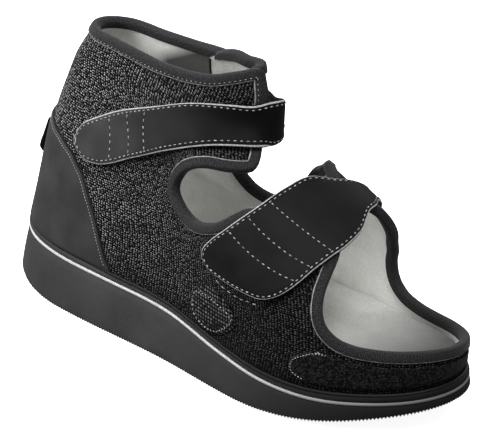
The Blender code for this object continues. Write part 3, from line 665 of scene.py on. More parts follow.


# Synthetic leather: a smooth film with a faint pressed grain. The fade is painted shade along the strap:
# it holds the darker colour further in and where the change starts and ends.
def coatedLeather(name, dark, light, fade=None, grainMm=0.8):
    material, tree, shader = startMaterial(name, {
        "Roughness": 0.55, "IOR": 1.5, "Specular IOR Level": 0.09,
    })
    place = spotsInMm(tree)
    grain = addNode(tree, "TexVoronoi", {"Scale": 1 / grainMm, "feature": "F1"}, {"Vector": place})
    cloud = addNode(tree, "TexNoise", {"Scale": 0.06, "Detail": 3.0}, {"Vector": place})
    tone = addNode(tree, "MapRange", {"From Min": 0.35, "From Max": 0.65}, {"Value": cloud})
    mix = addNode(tree, "Mix", {"data_type": "RGBA", 6: srgb(dark), 7: srgb(light)}, {0: tone})
    colour = mix.outputs[2]
    # painted shade: the strap darkens along its length
    if fade:
        cloth = addNode(tree, "UVMap", {"uv_map": "clothMap"})
        flat = addNode(tree, "SeparateXYZ", links={"Vector": cloth})
        colour = paintShadeTo(tree, colour, fade[0], flat.outputs[0], fade[1], fade[2])
    tree.links.new(colour, shader.inputs["Base Color"])
    rough = addNode(tree, "MapRange", {"To Min": 0.5, "To Max": 0.64}, {"Value": cloud})
    tree.links.new(rough.outputs[0], shader.inputs["Roughness"])
    bump = addNode(tree, "Bump", {
        "Strength": 0.2, "Distance": 0.00006,
    }, {"Height": grain.outputs["Distance"]})
    tree.links.new(bump.outputs[0], shader.inputs["Normal"])
    return material


def feltBacking():  # the strap's light felt backing, which shows at the cut edge
    material, tree, shader = startMaterial("feltBacking", {"Roughness": 0.9, "Specular IOR Level": 0.2})
    place = spotsInMm(tree)
    fibre = addNode(tree, "TexNoise", {"Scale": 0.8, "Detail": 3.0}, {"Vector": place})
    tone = addNode(tree, "MapRange", {"From Min": 0.35, "From Max": 0.65}, {"Value": fibre})
    mix = addNode(tree, "Mix", {"data_type": "RGBA", 6: srgb("#8c8c8a"), 7: srgb("#b8b8b6")}, {0: tone})
    tree.links.new(mix.outputs[2], shader.inputs["Base Color"])
    bump = addNode(tree, "Bump", {"Strength": 0.5, "Distance": 0.00015}, {"Height": fibre})
    tree.links.new(bump.outputs[0], shader.inputs["Normal"])
    return material


def tapeWeave(name, dark, light, ribMm=0.9):  # woven tape: fine ribs across its length
    material, tree, shader = startMaterial(name, {
        "Roughness": 0.85, "Specular IOR Level": 0.15, "Sheen Weight": 0.1, "Sheen Roughness": 0.4,
    })
    cloth = addNode(tree, "UVMap", {"uv_map": "clothMap"})
    axes = addNode(tree, "SeparateXYZ", links={"Vector": cloth})
    angle = addNode(tree, "Math", {"operation": "MULTIPLY", 1: tau / ribMm}, {0: axes.outputs[0]})
    rib = addNode(tree, "Math", {"operation": "SINE"}, {0: angle})
    fibre = addNode(tree, "TexNoise", {"Scale": 1.2, "Detail": 3.0}, {"Vector": cloth})
    total = addNode(tree, "Math", {"operation": "MULTIPLY_ADD", 1: 0.12}, {0: rib, 2: fibre})
    tone = addNode(tree, "MapRange", {"From Min": 0.36, "From Max": 0.68}, {"Value": total})
    mix = addNode(tree, "Mix", {"data_type": "RGBA", 6: srgb(dark), 7: srgb(light)}, {0: tone})
    tree.links.new(mix.outputs[2], shader.inputs["Base Color"])
    bump = addNode(tree, "Bump", {"Strength": 0.5, "Distance": 0.0002}, {"Height": total})
    tree.links.new(bump.outputs[0], shader.inputs["Normal"])
    return material


def loopPile():  # loop side of touch tape: a tangle of nylon loops that catch the light
    material, tree, shader = startMaterial("loopPile", {
        "Roughness": 0.9, "Specular IOR Level": 0.08, "Sheen Weight": 0.04, "Sheen Roughness": 0.4,
    })
    cloth = addNode(tree, "UVMap", {"uv_map": "clothMap"})
    loops = addNode(tree, "TexVoronoi", {"Scale": 0.75, "Randomness": 1.0}, {"Vector": cloth})
    fuzz = addNode(tree, "TexNoise", {"Scale": 1.1, "Detail": 4.0}, {"Vector": cloth})
    total = addNode(
        tree, "Math", {"operation": "MULTIPLY_ADD", 1: -0.45}, {0: loops.outputs["Distance"], 2: fuzz}
    )
    tone = addNode(tree, "MapRange", {"From Min": 0.22, "From Max": 0.62}, {"Value": total})
    mix = addNode(tree, "Mix", {"data_type": "RGBA", 6: srgb("#050506"), 7: srgb("#39393a")}, {0: tone})
    tree.links.new(mix.outputs[2], shader.inputs["Base Color"])
    bump = addNode(tree, "Bump", {"Strength": 0.9, "Distance": 0.0005}, {"Height": total})
    tree.links.new(bump.outputs[0], shader.inputs["Normal"])
    return material


def ribbedTape(slant=-62.0, ribMm=1.5):  # stiff tape behind the strap: slanting ribs, light on dark
    material, tree, shader = startMaterial("ribbedTape", {"Roughness": 0.7, "Specular IOR Level": 0.3})
    cloth = addNode(tree, "UVMap", {"uv_map": "clothMap"})
    turned = addNode(
        tree, "VectorRotate", {"rotation_type": "Z_AXIS", "Angle": math.radians(slant)}, {"Vector": cloth}
    )
    axes = addNode(tree, "SeparateXYZ", links={"Vector": turned})
    angle = addNode(tree, "Math", {"operation": "MULTIPLY", 1: tau / ribMm}, {0: axes.outputs[1]})
    rib = addNode(tree, "Math", {"operation": "SINE"}, {0: angle})
    tone = addNode(tree, "MapRange", {"From Min": -0.2, "From Max": 0.9}, {"Value": rib})
    mix = addNode(tree, "Mix", {"data_type": "RGBA", 6: srgb("#060607"), 7: srgb("#a8a8a8")}, {0: tone})
    tree.links.new(mix.outputs[2], shader.inputs["Base Color"])
    bump = addNode(tree, "Bump", {"Strength": 0.6, "Distance": 0.0004}, {"Height": rib})
    tree.links.new(bump.outputs[0], shader.inputs["Normal"])
    return material


def sewingThread(name, dark, light):  # bonded polyester thread with a little shine
    material, tree, shader = startMaterial(name, {"Roughness": 0.6, "Specular IOR Level": 0.25})
    place = spotsInMm(tree)
    twist = addNode(tree, "TexNoise", {"Scale": 0.35, "Detail": 2.0}, {"Vector": place})
    tone = addNode(tree, "MapRange", {"From Min": 0.35, "From Max": 0.65}, {"Value": twist})
    mix = addNode(tree, "Mix", {"data_type": "RGBA", 6: srgb(dark), 7: srgb(light)}, {0: tone})
    tree.links.new(mix.outputs[2], shader.inputs["Base Color"])
    return material


soleRubber = mouldedRubber()
treadRubberDirtAndShade = treadEdgeRubber()
stripeFinish = stripeRubber()
# painted shade: the footbed turns darker grey towards the toe
footbedFleece = brushedFleece("footbedFleece", "#c0c0be", "#e6e6e2", shadeFades=((0, "#4e4e4c", 88, 158),))
liningFleece = brushedFleece("liningFleece", "#dcdcd8", "#f6f6f2", shade=shaftShade)
# the tongue's lining is a darker copy of the shaft's lining fleece: painted shade
tongueShadedFleece = brushedFleece("tongueShadedFleece", "#94948f", "#c0c0bb")
meshFinish = wovenMesh("wovenMesh", meshLook)
landingLook = {**meshLook, "acrossMm": 2.2, "upMm": 2.2, "speckSize": 0.32}
landingFinish = wovenMesh("landingMesh", landingLook, -8.0, 0.1)
# the two straps are lighter and darker copies of one leather, painted light and shade, and each darkens along
# its length as painted shade
ankleLeather = coatedLeather("ankleStrapLeather", "#323233", "#3c3c3d", ("#09090a", 30, 95))
strapLeather = coatedLeather("strapLeather", "#0e0e0f", "#151516", ("#0a0a0b", 45, 110))
counterLeather = coatedLeather("counterLeather", "#303031", "#3a3a3b")
backingFelt = feltBacking()
bindingFinish = tapeWeave("bindingTape", "#0a0a0b", "#39393b")
tabFinish = tapeWeave("pullTabTape", "#030304", "#0b0b0c", 1.4)
loopFinish = loopPile()
ribbedFinish = ribbedTape()
lightThread = sewingThread("lightThread", "#7c7c7a", "#b8b8b4")
darkThread = sewingThread("darkThread", "#040405", "#0c0c0d")
pipingCord = sewingThread("greyPiping", "#7a7a79", "#b2b2b0")
print("materials made")


# Sole: rings from the tread up to the rim, with real cross grooves underneath
sole = {
    "flare": 0.137,
    "grooveHeight": 0.0018,  # of the stripe's groove
    "grooveDepth": 0.0012,
    "edge": 0.0016,
    "treadPitch": 0.0020,
    "treadDepth": 0.0013,
    "sideRows": 5,
}
tooth = sole["treadPitch"]
toothShape = ((0.0, 1.0), (0.42, 0.0), (0.58, 0.0), (1.0, 1.0))  # share of a pitch, share of the depth
fineTurns = np.linspace(0, math.pi, 4001)
fineReach = cumulative(solePlan(fineTurns, 0))
teeth = int(fineReach[-1] / tooth)
treadReach = np.array([(i + share) * tooth for i in range(teeth) for share, _ in toothShape[:3]])
evenTurns = np.linspace(0, math.pi, 241)
treadTurns = np.interp(treadReach, fineReach, fineTurns)
halfTurns = np.unique(np.round(np.concatenate([evenTurns, treadTurns]), 6))
halfTurns = halfTurns[np.r_[True, np.diff(halfTurns) > 2e-4]]
halfTurns[0], halfTurns[-1] = 0.0, math.pi
soleTurns = np.concatenate([halfTurns, tau - halfTurns[1:-1][::-1]])
soleLine = solePlan(soleTurns, 0)
soleStripe = stripeHeight(soleLine[:, 0])
soleReach = np.interp(np.minimum(soleTurns, tau - soleTurns), fineTurns, fineReach)
shares, depths = np.array(toothShape).T
grooves = np.interp((soleReach / tooth) % 1, shares, depths) * sole["treadDepth"]
flare = sole["flare"] * (soleStripe - floorHeight(soleLine[:, 0]))
ground = solePlan(soleTurns, flare)
groundHeight = floorHeight(ground[:, 0])


def soleLoop(out, height):
    return np.column_stack([solePlan(soleTurns, out), soleStripe + height])


halfGroove = sole["grooveHeight"] / 2 + shoe["gap"] + 0.0001
soleRings = [
    np.column_stack([solePlan(soleTurns, flare - sole["edge"]), groundHeight + grooves]),
    np.column_stack([solePlan(soleTurns, flare - sole["edge"] * 0.3), groundHeight + grooves + 0.0002]),
    np.column_stack([ground, np.maximum(groundHeight + sole["edge"], groundHeight + grooves)]),
]
for share in np.linspace(0, 1, sole["sideRows"] + 2)[1:-1]:
    high = soleStripe - halfGroove - 0.0004
    low = groundHeight + sole["edge"]
    bulge = 0.0003 * math.sin(math.pi * share)
    soleRings.append(np.column_stack([
        solePlan(soleTurns, flare * (1 - share) + bulge), low + (high - low) * share,
    ]))
for out, height in (
    (0.0, -halfGroove - 0.0004), (-0.0003, -halfGroove), (-sole["grooveDepth"] - shoe["gap"], -halfGroove),
    (-sole["grooveDepth"] - shoe["gap"], halfGroove), (-0.0003, halfGroove), (0.0, halfGroove + 0.0004),
    (0.0001, 0.0026), (-0.0001, shoe["rimHeight"] - 0.0009), (-0.0004, shoe["rimHeight"] - 0.0003),
    (-0.0009, shoe["rimHeight"]), (-0.0040, shoe["rimHeight"]),
):
    ring = soleLoop(out, height)
    if height > shoe["rimHeight"] - 0.0001:
        ring[:, 2] = rimHeight(ring[:, 0])
    soleRings.append(ring)
count = len(soleTurns)
soleFaces = ringFaces(len(soleRings), count, capped=False)
for start, flip in ((0, True), ((len(soleRings) - 1) * count, False)):
    for i in range(count // 2):
        corners = dict.fromkeys(start + k for k in (i, i + 1, count - i - 1, (count - i) % count))
        soleFaces.append(tuple(corners)[::-1] if flip else tuple(corners))
firstUnder, lastUnder = len(soleFaces) - count, len(soleFaces) - count // 2
makePiece(
    "soleUnit", np.concatenate(soleRings), soleFaces, [soleRubber, treadRubberDirtAndShade], "outsole_rubber",
    ["sole"], sharp=30,
    # the teeth and the underside take the tread rubber, dark with dirt and painted shade
    faceFinish=[int(i < 2 * count or firstUnder <= i < lastUnder) for i in range(len(soleFaces))],
)

stripe = {"height": 0.0018, "depth": 0.0012, "proud": 0.0003}
stripeTurns = np.linspace(0, tau, 480, endpoint=False)
stripeBase = stripeHeight(solePlan(stripeTurns, 0)[:, 0])
half, proud = stripe["height"] / 2, stripe["proud"]
stripeSection = (
    (-stripe["depth"], -half), (proud - 0.0004, -half), (proud - 0.0001, -half + 0.0003),
    (proud, 0.0), (proud - 0.0001, half - 0.0003), (proud - 0.0004, half), (-stripe["depth"], half),
)
stripeRings = [
    np.column_stack([solePlan(stripeTurns, out), stripeBase + height]) for out, height in stripeSection
]
makePiece(
    "soleStripe", np.concatenate(stripeRings), ringFaces(len(stripeRings), 480, closed=True),
    [stripeFinish], "stripe_rubber", ["sole_stripe"],
)
print("sole made, columns:", count)

# Painted shadow: a dark cord where the upper meets the rim, wider ahead of the counter
footTurns = np.linspace(0, tau, 361)[:-1]
ahead = np.clip((np.abs((footTurns + math.pi) % tau - math.pi) - 1.0) / 0.2, 0, 1)
footPlace = onLast(footTurns, np.full(360, 0.0005), 0.0005 + 0.0004 * ahead)
footNormals = lastNormals(footTurns, np.full(360, 0.0005))
footShadowCord = cordAlong(footPlace, footNormals, 0.0005 + 0.0005 * ahead, closed=True)
makePiece("footLine", *footShadowCord, [darkThread], "upper_mesh")

# Insole: a soft footbed with rolled edges and a shallow dish
insole = {"thickness": 0.0092, "rolledEdge": 0.0022, "dish": 0.0006, "across": 48, "stations": 150}
bedTurns = np.linspace(0, math.pi, insole["stations"])
bedTurns = np.concatenate([bedTurns, tau - bedTurns[1:-1][::-1]])
bedCount = len(bedTurns)


def bedLoop(height, out):
    depth = out - shoe["wall"] - 2 * shoe["gap"]
    loop = onLast(bedTurns, np.full(bedCount, height), np.full(bedCount, depth))
    loop[:, 2] = rimHeight(loop[:, 0]) + height
    return loop


thick, roll = insole["thickness"], insole["rolledEdge"]
bedRings = [bedLoop(shoe["gap"], -0.0002), bedLoop(thick - roll, 0.0)]
for angle in np.radians((30, 60, 90)):
    bedRings.append(bedLoop(thick - roll * (1 - math.sin(angle)), -roll * (1 - math.cos(angle))))
bedPoints = list(np.concatenate(bedRings))
bedFaces = ringFaces(len(bedRings), bedCount, capped=False)
for i in range(bedCount // 2):
    corners = dict.fromkeys((i, i + 1, bedCount - i - 1, (bedCount - i) % bedCount))
    bedFaces.append(tuple(corners)[::-1])
topStart = (len(bedRings) - 1) * bedCount
across = insole["across"]
rowsOfTop = []
for i in range(bedCount // 2 + 1):
    left, right = topStart + i, topStart + (bedCount - i) % bedCount
    if left == right:
        rowsOfTop.append([left] * (across + 1))
        continue
    row = [left]
    for share in np.linspace(0, 1, across + 1)[1:-1]:
        spot = bedPoints[left] * (1 - share) + bedPoints[right] * share
        wide = np.linalg.norm(bedPoints[left] - bedPoints[right])
        edge = min(share, 1 - share) * wide
        dip = insole["dish"] * (1 - math.exp(-edge / 0.012))
        wave = 0.00015 * math.sin(spot[0] * 260) * math.sin(spot[1] * 310 + 1)
        spot[2] += wave * min(1, edge / 0.01) - dip
        row.append(len(bedPoints))
        bedPoints.append(spot)
    rowsOfTop.append(row + [right])
for rowA, rowB in zip(rowsOfTop, rowsOfTop[1:]):
    for j in range(across):
        corners = tuple(dict.fromkeys((rowA[j], rowA[j + 1], rowB[j + 1], rowB[j])))
        if len(corners) > 2:
            bedFaces.append(corners[::-1])
footbed = makePiece("footbed", bedPoints, bedFaces, [footbedFleece], "footbed", ["insole"])
print("insole made")

# Upper: mesh outside and fleece inside, with listed soft creases
upper = {
    "edgeRounding": 0.006,
    "spacing": 0.0026,
    "edgeStep": 0.0023,
    "creases": (  # turn, height, length and width in metres, depth, slant in degrees
        (74, 0.050, 0.030, 0.006, -0.0009, 20),
        (70, 0.036, 0.026, 0.005, 0.0006, 16),
        (110, 0.030, 0.034, 0.006, -0.0007, -35),
        (60, 0.112, 0.030, 0.006, -0.0007, 4),
        (100, 0.116, 0.028, 0.005, -0.0006, -8),
        (300, 0.100, 0.034, 0.007, -0.0009, -10),
        (290, 0.040, 0.030, 0.006, -0.0008, 15),
        (330, 0.105, 0.026, 0.006, -0.0007, 12),
    ),
}


def creaseDepth(turn, height):
    total = np.zeros(len(turn))
    for atTurn, atHeight, length, width, depth, slant in upper["creases"]:
        lateral = atTurn < 180
        flat = flatCloth(turn, height, np.full(len(turn), lateral))
        centre = flatCloth(np.radians([atTurn]), np.array([atHeight]), np.array([lateral]))
        way = math.radians(slant)
        offset = flat - centre
        along = offset[:, 0] * math.cos(way) + offset[:, 1] * math.sin(way)
        side = offset[:, 1] * math.cos(way) - offset[:, 0] * math.sin(way)
        total += depth * np.exp(-((along / length) ** 2) * 2 - ((side / width) ** 2) * 2)
    return total


freeRows = (
    lateralCollar + lateralFront + lateralNotch + lateralWing + toeOpening + medialWing
    + medialNotch + medialFront + medialCollar
)
freeEdge = smoothLine(freeRows, upper["edgeRounding"], upper["edgeStep"], around=True)
backSeam = np.linspace(freeEdge[0, 1], 0.0, 50)[1:-1]
footLine = np.linspace(tau, 0.0, 281)
wallOutline = np.concatenate([
    freeEdge,
    np.column_stack([np.full(48, tau), backSeam]),
    np.column_stack([footLine, np.zeros(281)]),
    np.column_stack([np.zeros(48), backSeam[::-1]]),
])
wallSpots, wallFaces, _ = triangles(
    wallOutline, lastGrid(wallOutline, upper["spacing"]), upper["spacing"],
    lambda spots: onLast(spots[:, 0], spots[:, 1]), scale=turnScale,
)
wallSide = (wallSpots[wallFaces].mean(axis=1)[:, 0] < math.pi)[:, None]
faceCloth = flatCloth(wallSpots[wallFaces][..., 0], wallSpots[wallFaces][..., 1], wallSide)
welded = wallSpots.copy()
welded[:, 0] = np.where(welded[:, 0] > tau - 1e-5, 0.0, welded[:, 0])
_, first, weld = np.unique(np.round(welded, 6), axis=0, return_index=True, return_inverse=True)
wallFaces = weld.reshape(-1)[wallFaces]
wallSpots = welded[first]
freePoints = onLast(*freeEdge.T)
edgeDistance = np.array([
    ((freePoints - point) ** 2).sum(axis=1).min() for point in onLast(*wallSpots.T)
]) ** 0.5
edgeShare = np.clip(edgeDistance / 0.012, 0, 1)  # no crease at the bound edge
crease = creaseDepth(wallSpots[:, 0], wallSpots[:, 1]) * edgeShare * np.clip(wallSpots[:, 1] / 0.01, 0, 1)
wallLow = onLast(wallSpots[:, 0], wallSpots[:, 1], crease - shoe["wall"]) + (0, 0, shoe["gap"])
wallHigh = onLast(wallSpots[:, 0], wallSpots[:, 1], crease) + (0, 0, shoe["gap"])
top, bottom, sides = skinFaces(wallFaces, len(wallSpots))
cornerCloth = np.concatenate([
    faceCloth.reshape(-1, 2), faceCloth[:, ::-1].reshape(-1, 2), np.zeros((len(sides) * 4, 2)),
])
upperPiece = makePiece(
    "upperWall", np.concatenate([wallLow, wallHigh]), top + bottom + sides, [meshFinish, liningFleece],
    "upper_mesh", ["upper"], uv=cornerCloth,
    faceFinish=[0] * len(top) + [1] * len(bottom) + [0] * len(sides),
)
print("upper made, faces:", len(upperPiece.data.polygons))


# A flat piece on a surface: an outline, loops inside it at set distances from the edge, and a
# height for each loop. The rows of profile are distance, height and finish number.
def layeredPiece(name, outline, loops, grid, spacing, toPoints, profile, low, finishes, slot,
                 nodes, scale=(1.0, 1.0), uvOf=None, bottomFinish=0):
    spots, faces, number = triangles(
        outline, grid, spacing, lambda s: toPoints(s, 0.0), loops, scale=scale
    )
    heights = np.array([row[1] for row in profile])
    kinds = np.array([row[2] for row in profile])
    place = np.where(number < 0, len(profile) - 1, number)
    under = toPoints(spots, np.full(len(spots), low))
    over = toPoints(spots, low + heights[place])
    top, bottom, sides = skinFaces(faces, len(spots))
    topFinish = kinds[place[faces]].min(axis=1)
    uv = np.concatenate([uvOf(spots)] * 2) if uvOf else None
    return makePiece(
        name, np.concatenate([under, over]), top + bottom + sides, finishes, slot, nodes, uv=uv,
        faceFinish=[*topFinish, *[bottomFinish] * len(bottom), *[kinds[0]] * len(sides)],
    )


def onWall(spots, out):
    return onLast(spots[:, 0], spots[:, 1], out) + (0, 0, shoe["gap"])


def wallCloth(spots):
    return flatCloth(spots[:, 0], spots[:, 1], spots[:, 0] < math.pi)


def panelOnLast(name, rows, rounding, step, spacing, profile, finishes, slot, nodes, low):
    outline = smoothLine(rows + (rows[0],), rounding, step)[:-1]
    loops = [inward(outline, distance, closed=True) for distance, _, _ in profile[1:]]
    layeredPiece(
        name, outline, loops, lastGrid(outline, spacing), spacing, onWall, profile, low,
        finishes, slot, nodes, turnScale, wallCloth,
    )
    return outline


overlay = shoe["gap"] + 0.0001
counter = {
    "outline": (
        (-66, 0.0008), (-63.5, 0.0066), (-60.5, 0.0176), (-58, 0.0277), (-54, 0.0400), (-47, 0.0535),
        (-36, 0.0640), (-20, 0.0687), (0, 0.0700), (20, 0.0687), (36, 0.0645), (45, 0.0590),
        (51, 0.0500), (55.5, 0.0363), (58, 0.0277), (60.5, 0.0176), (63.5, 0.0066), (66, 0.0008),
    ),
    "thickness": 0.0010,
}
counterOutline = panelOnLast(
    "heelCounter", counter["outline"], 0.0015, 0.0022, 0.0032,
    ((0, 0.0004, 0), (0.0004, 0.0008, 0), (0.0010, counter["thickness"], 0)),
    [counterLeather], "counter_synthetic", ["heel_counter"], overlay,
)
toeBand = {
    "outline": (
        (136.5, 0.0042), (128, 0.0044), (124, 0.0070), (122.6, 0.0120), (123.8, 0.0180),
        (128, 0.0225), (131.5, 0.0255), (137, 0.0215), (142, 0.0190), (150, 0.0172), (160, 0.0160),
        (172, 0.0142), (185, 0.0123), (200, 0.0104), (212, 0.0095), (222, 0.0095), (224, 0.0070),
        (223, 0.0042), (212, 0.0040), (195, 0.0040), (180, 0.0040), (165, 0.0040), (150, 0.0040),
    ),
    "thickness": 0.0009,
}
toeBandOutline = panelOnLast(
    "toeLoopBand", toeBand["outline"], 0.004, 0.0018, 0.0024,
    ((0, 0.0003, 0), (0.0004, 0.0007, 0), (0.0010, toeBand["thickness"], 0)),
    [loopFinish], "loop_tape", ["toe_loop_band"], overlay,
)
instepPatch = {
    "outline": (
        (92.8, 0.0215), (91.5, 0.0150), (92.3, 0.0080), (95.8, 0.0042), (98.5, 0.0034),
        (101.4, 0.0052), (104, 0.0110), (106, 0.0170), (106.5, 0.0205), (105.8, 0.0235),
        (104, 0.0275), (100, 0.0305), (95, 0.0280),
    ),
    "thickness": 0.0009,
}
panelOnLast(
    "instepLandingPatch", instepPatch["outline"], 0.003, 0.0015, 0.0020,
    ((0, 0.0003, 0), (0.0004, 0.0006, 0), (0.0010, instepPatch["thickness"], 0)),
    [landingFinish], "loop_tape", ["instep_landing_patch"], overlay,
)
anklePatch = {
    "outline": (
        (45.5, 0.0735), (52, 0.0790), (60, 0.0840), (60, 0.0630), (53, 0.0580), (48.5, 0.0610),
    ),
    "thickness": 0.0009,
}
panelOnLast(
    "ankleLandingPatch", anklePatch["outline"], 0.0015, 0.0015, 0.0020,
    ((0, 0.0003, 0), (0.0004, 0.0006, 0), (0.0010, anklePatch["thickness"], 0)),
    [ribbedFinish], "loop_tape", ["ankle_landing_patch"], overlay,
)
print("panels made")


# Straps and tongue: strips through rows of their two edges
def stripSurface(rows, across=17):
    mix = np.linspace(0, 1, across)
    lines = []
    for row in rows:
        if len(row) == 2:
            low, high = np.array(row[0]), np.array(row[1])
            lines.append(low + (high - low) * mix[:, None])
        else:
            low, high = np.array(row[:3]), np.array(row[3:])
            turn, height, out = (low + (high - low) * mix[:, None]).T
            lines.append(onLast(np.radians(turn), height, out) + (0, 0, shoe["gap"]))
    lines = np.array(lines)
    knots = cumulative(lines.mean(axis=1))

    def place(s, q):
        return np.einsum("nk,na,kac->nc", weights(knots, s), weights(mix, q), lines)

    def width(s):
        s = np.atleast_1d(s)
        return np.linalg.norm(place(s, np.ones(len(s))) - place(s, np.zeros(len(s))), axis=1)

    def toPoints(spots, out):  # spots hold metres along, and across from the middle line
        s, q = spots[:, 0], 0.5 + spots[:, 1] / width(spots[:, 0])
        q = np.clip(q, 0, 1)
        step = 2e-4
        along = place(s + step, q) - place(s - step, q)
        sideways = place(s, np.clip(q + 0.004, 0, 1)) - place(s, np.clip(q - 0.004, 0, 1))
        normal = np.cross(along, sideways)
        normal /= np.linalg.norm(normal, axis=1)[:, None]
        return place(s, q) + normal * np.asarray(out, float).reshape(-1, 1)

    return toPoints, width, knots[-1]


def stripOutline(width, length, radius, inset, step=0.0018):  # round at the start, square at the end
    start, end = inset, length - inset
    round_ = max(radius - inset, 1e-4)
    corners = np.linspace(0, math.pi / 2, 13)[1:]
    straight = np.linspace(radius, end, max(2, round((end - radius) / step)))
    if radius == 0:
        straight = np.linspace(start, end, max(2, round((end - start) / step)))
    half = width(straight) / 2 - inset
    lower = np.column_stack([straight, -half])
    upperSide = np.column_stack([straight, half])[::-1]
    tip = [np.zeros((0, 2))]
    if radius:
        arcX = radius - round_ * np.sin(corners)
        arcHalf = width(arcX) / 2 - inset - round_ * (1 - np.cos(corners))
        tip = [np.column_stack([arcX, arcHalf]), np.column_stack([arcX, -arcHalf])[::-1]]
        if arcHalf[-1] > step:
            between = np.linspace(arcHalf[-1], -arcHalf[-1], round(2 * arcHalf[-1] / step) + 1)[1:-1]
            tip.insert(1, np.column_stack([np.full(len(between), start), between]))
    endHalf = half[-1]
    across = np.linspace(-endHalf, endHalf, max(3, round(2 * endHalf / step)))[1:-1]
    endLine = np.column_stack([np.full(len(across), end), across])
    return np.concatenate([upperSide, *tip, lower, endLine])


def stripPiece(name, rows, radius, profile, finishes, slot, nodes, spacing=0.0030, bottomFinish=0):
    toPoints, width, length = stripSurface(rows)
    outline, *loops = [stripOutline(width, length, radius, row[0]) for row in profile]
    wide = width(np.linspace(0, length, 60)).max()
    xs = np.arange(spacing / 2, length, spacing)
    ys = np.arange(-wide / 2, wide / 2, spacing)
    grid = np.array([(x, y + spacing * 0.5 * (i % 2)) for i, x in enumerate(xs) for y in ys])
    piece = layeredPiece(
        name, outline, loops, grid, spacing, toPoints, profile, 0.0, finishes, slot, nodes,
        uvOf=lambda spots: spots, bottomFinish=bottomFinish,
    )
    return piece, toPoints, width, length


strapProfile = (  # felt backing at the cut edge, then the leather face with a rounded edge
    (0.0, 0.0013, 1), (0.00015, 0.0018, 0), (0.00055, 0.0019, 0), (0.0007, 0.0021, 1), (0.0014, 0.0024, 1),
)
strapSeam = {
    "length": 0.0018, "pitch": 0.0036, "radius": 0.00031, "lift": 0.00004, "inset": 0.0022, "openEnd": 0.004,
    "holeLength": 0.0011, "holeLift": -0.00012,
}
ankleStrap = {
    "rows": (
        (48.0, 0.0602, 0.0024, 46.5, 0.0765, 0.0024),
        (60.0, 0.0618, 0.0024, 58.0, 0.0862, 0.0024),
        (75.0, 0.0738, 0.0024, 73.0, 0.0962, 0.0024),
        (97.0, 0.0888, 0.0024, 95.0, 0.1065, 0.0024),
        (123.0, 0.0990, 0.0026, 118.0, 0.1160, 0.0026),
        (140.0, 0.1018, 0.0030, 140.0, 0.1228, 0.0030),
        (150.0, 0.1025, 0.0030, 155.0, 0.1250, 0.0034),
        ((0.1722, -0.0050, 0.1303), (0.1690, -0.0040, 0.1555)),
        ((0.1712, 0.0020, 0.1300), (0.1705, 0.0030, 0.1550)),
        ((0.1660, 0.0100, 0.1280), (0.1655, 0.0095, 0.1520)),
        ((0.1560, 0.0200, 0.1240), (0.1560, 0.0155, 0.1475)),
        (250.0, 0.0885, 0.0026, 235.0, 0.1110, 0.0026),
        (264.0, 0.0850, 0.0024, 252.0, 0.1075, 0.0024),
        (276.7, 0.0810, 0.0024, 265.9, 0.1040, 0.0024),
        (287.3, 0.0765, 0.0024, 279.6, 0.0998, 0.0024),
        (294.9, 0.0729, 0.0024, 289.7, 0.0965, 0.0024),
    ),
    "radius": 0.0115,
    "crossSeams": ((0.0272, 0.0329), (0.0404, 0.0502), (0.0542, 0.0651)),  # at the low and the high edge
}
forefootStrap = {
    "rows": (
        (122.0, 0.0440, 0.0026, 95.3, 0.0420, 0.0026),
        (127.5, 0.0512, 0.0026, 98.0, 0.0490, 0.0026),
        (133.2, 0.0568, 0.0026, 105.0, 0.0597, 0.0026),
        (139.0, 0.0617, 0.0026, 116.5, 0.0718, 0.0026),
        (146.6, 0.0665, 0.0028, 131.0, 0.0823, 0.0028),
        (156.0, 0.0710, 0.0022, 148.0, 0.0895, 0.0022),
        (167.0, 0.0755, 0.0020, 165.0, 0.0925, 0.0020),
        (180.0, 0.0800, 0.0019, 178.0, 0.0905, 0.0019),
        (192.0, 0.0798, 0.0019, 189.0, 0.0888, 0.0019),
        (204.0, 0.0785, 0.0019, 200.0, 0.0862, 0.0019),
        (215.0, 0.0735, 0.0020, 212.0, 0.0815, 0.0020),
        (225.0, 0.0670, 0.0020, 223.0, 0.0765, 0.0020),
        (234.0, 0.0590, 0.0020, 233.0, 0.0695, 0.0020),
        (240.5, 0.0510, 0.0020, 242.0, 0.0615, 0.0020),
    ),
    "radius": 0.0140,
    "crossSeams": ((0.0167, 0.0290), (0.0303, 0.0394), (0.0494, 0.0514)),
}


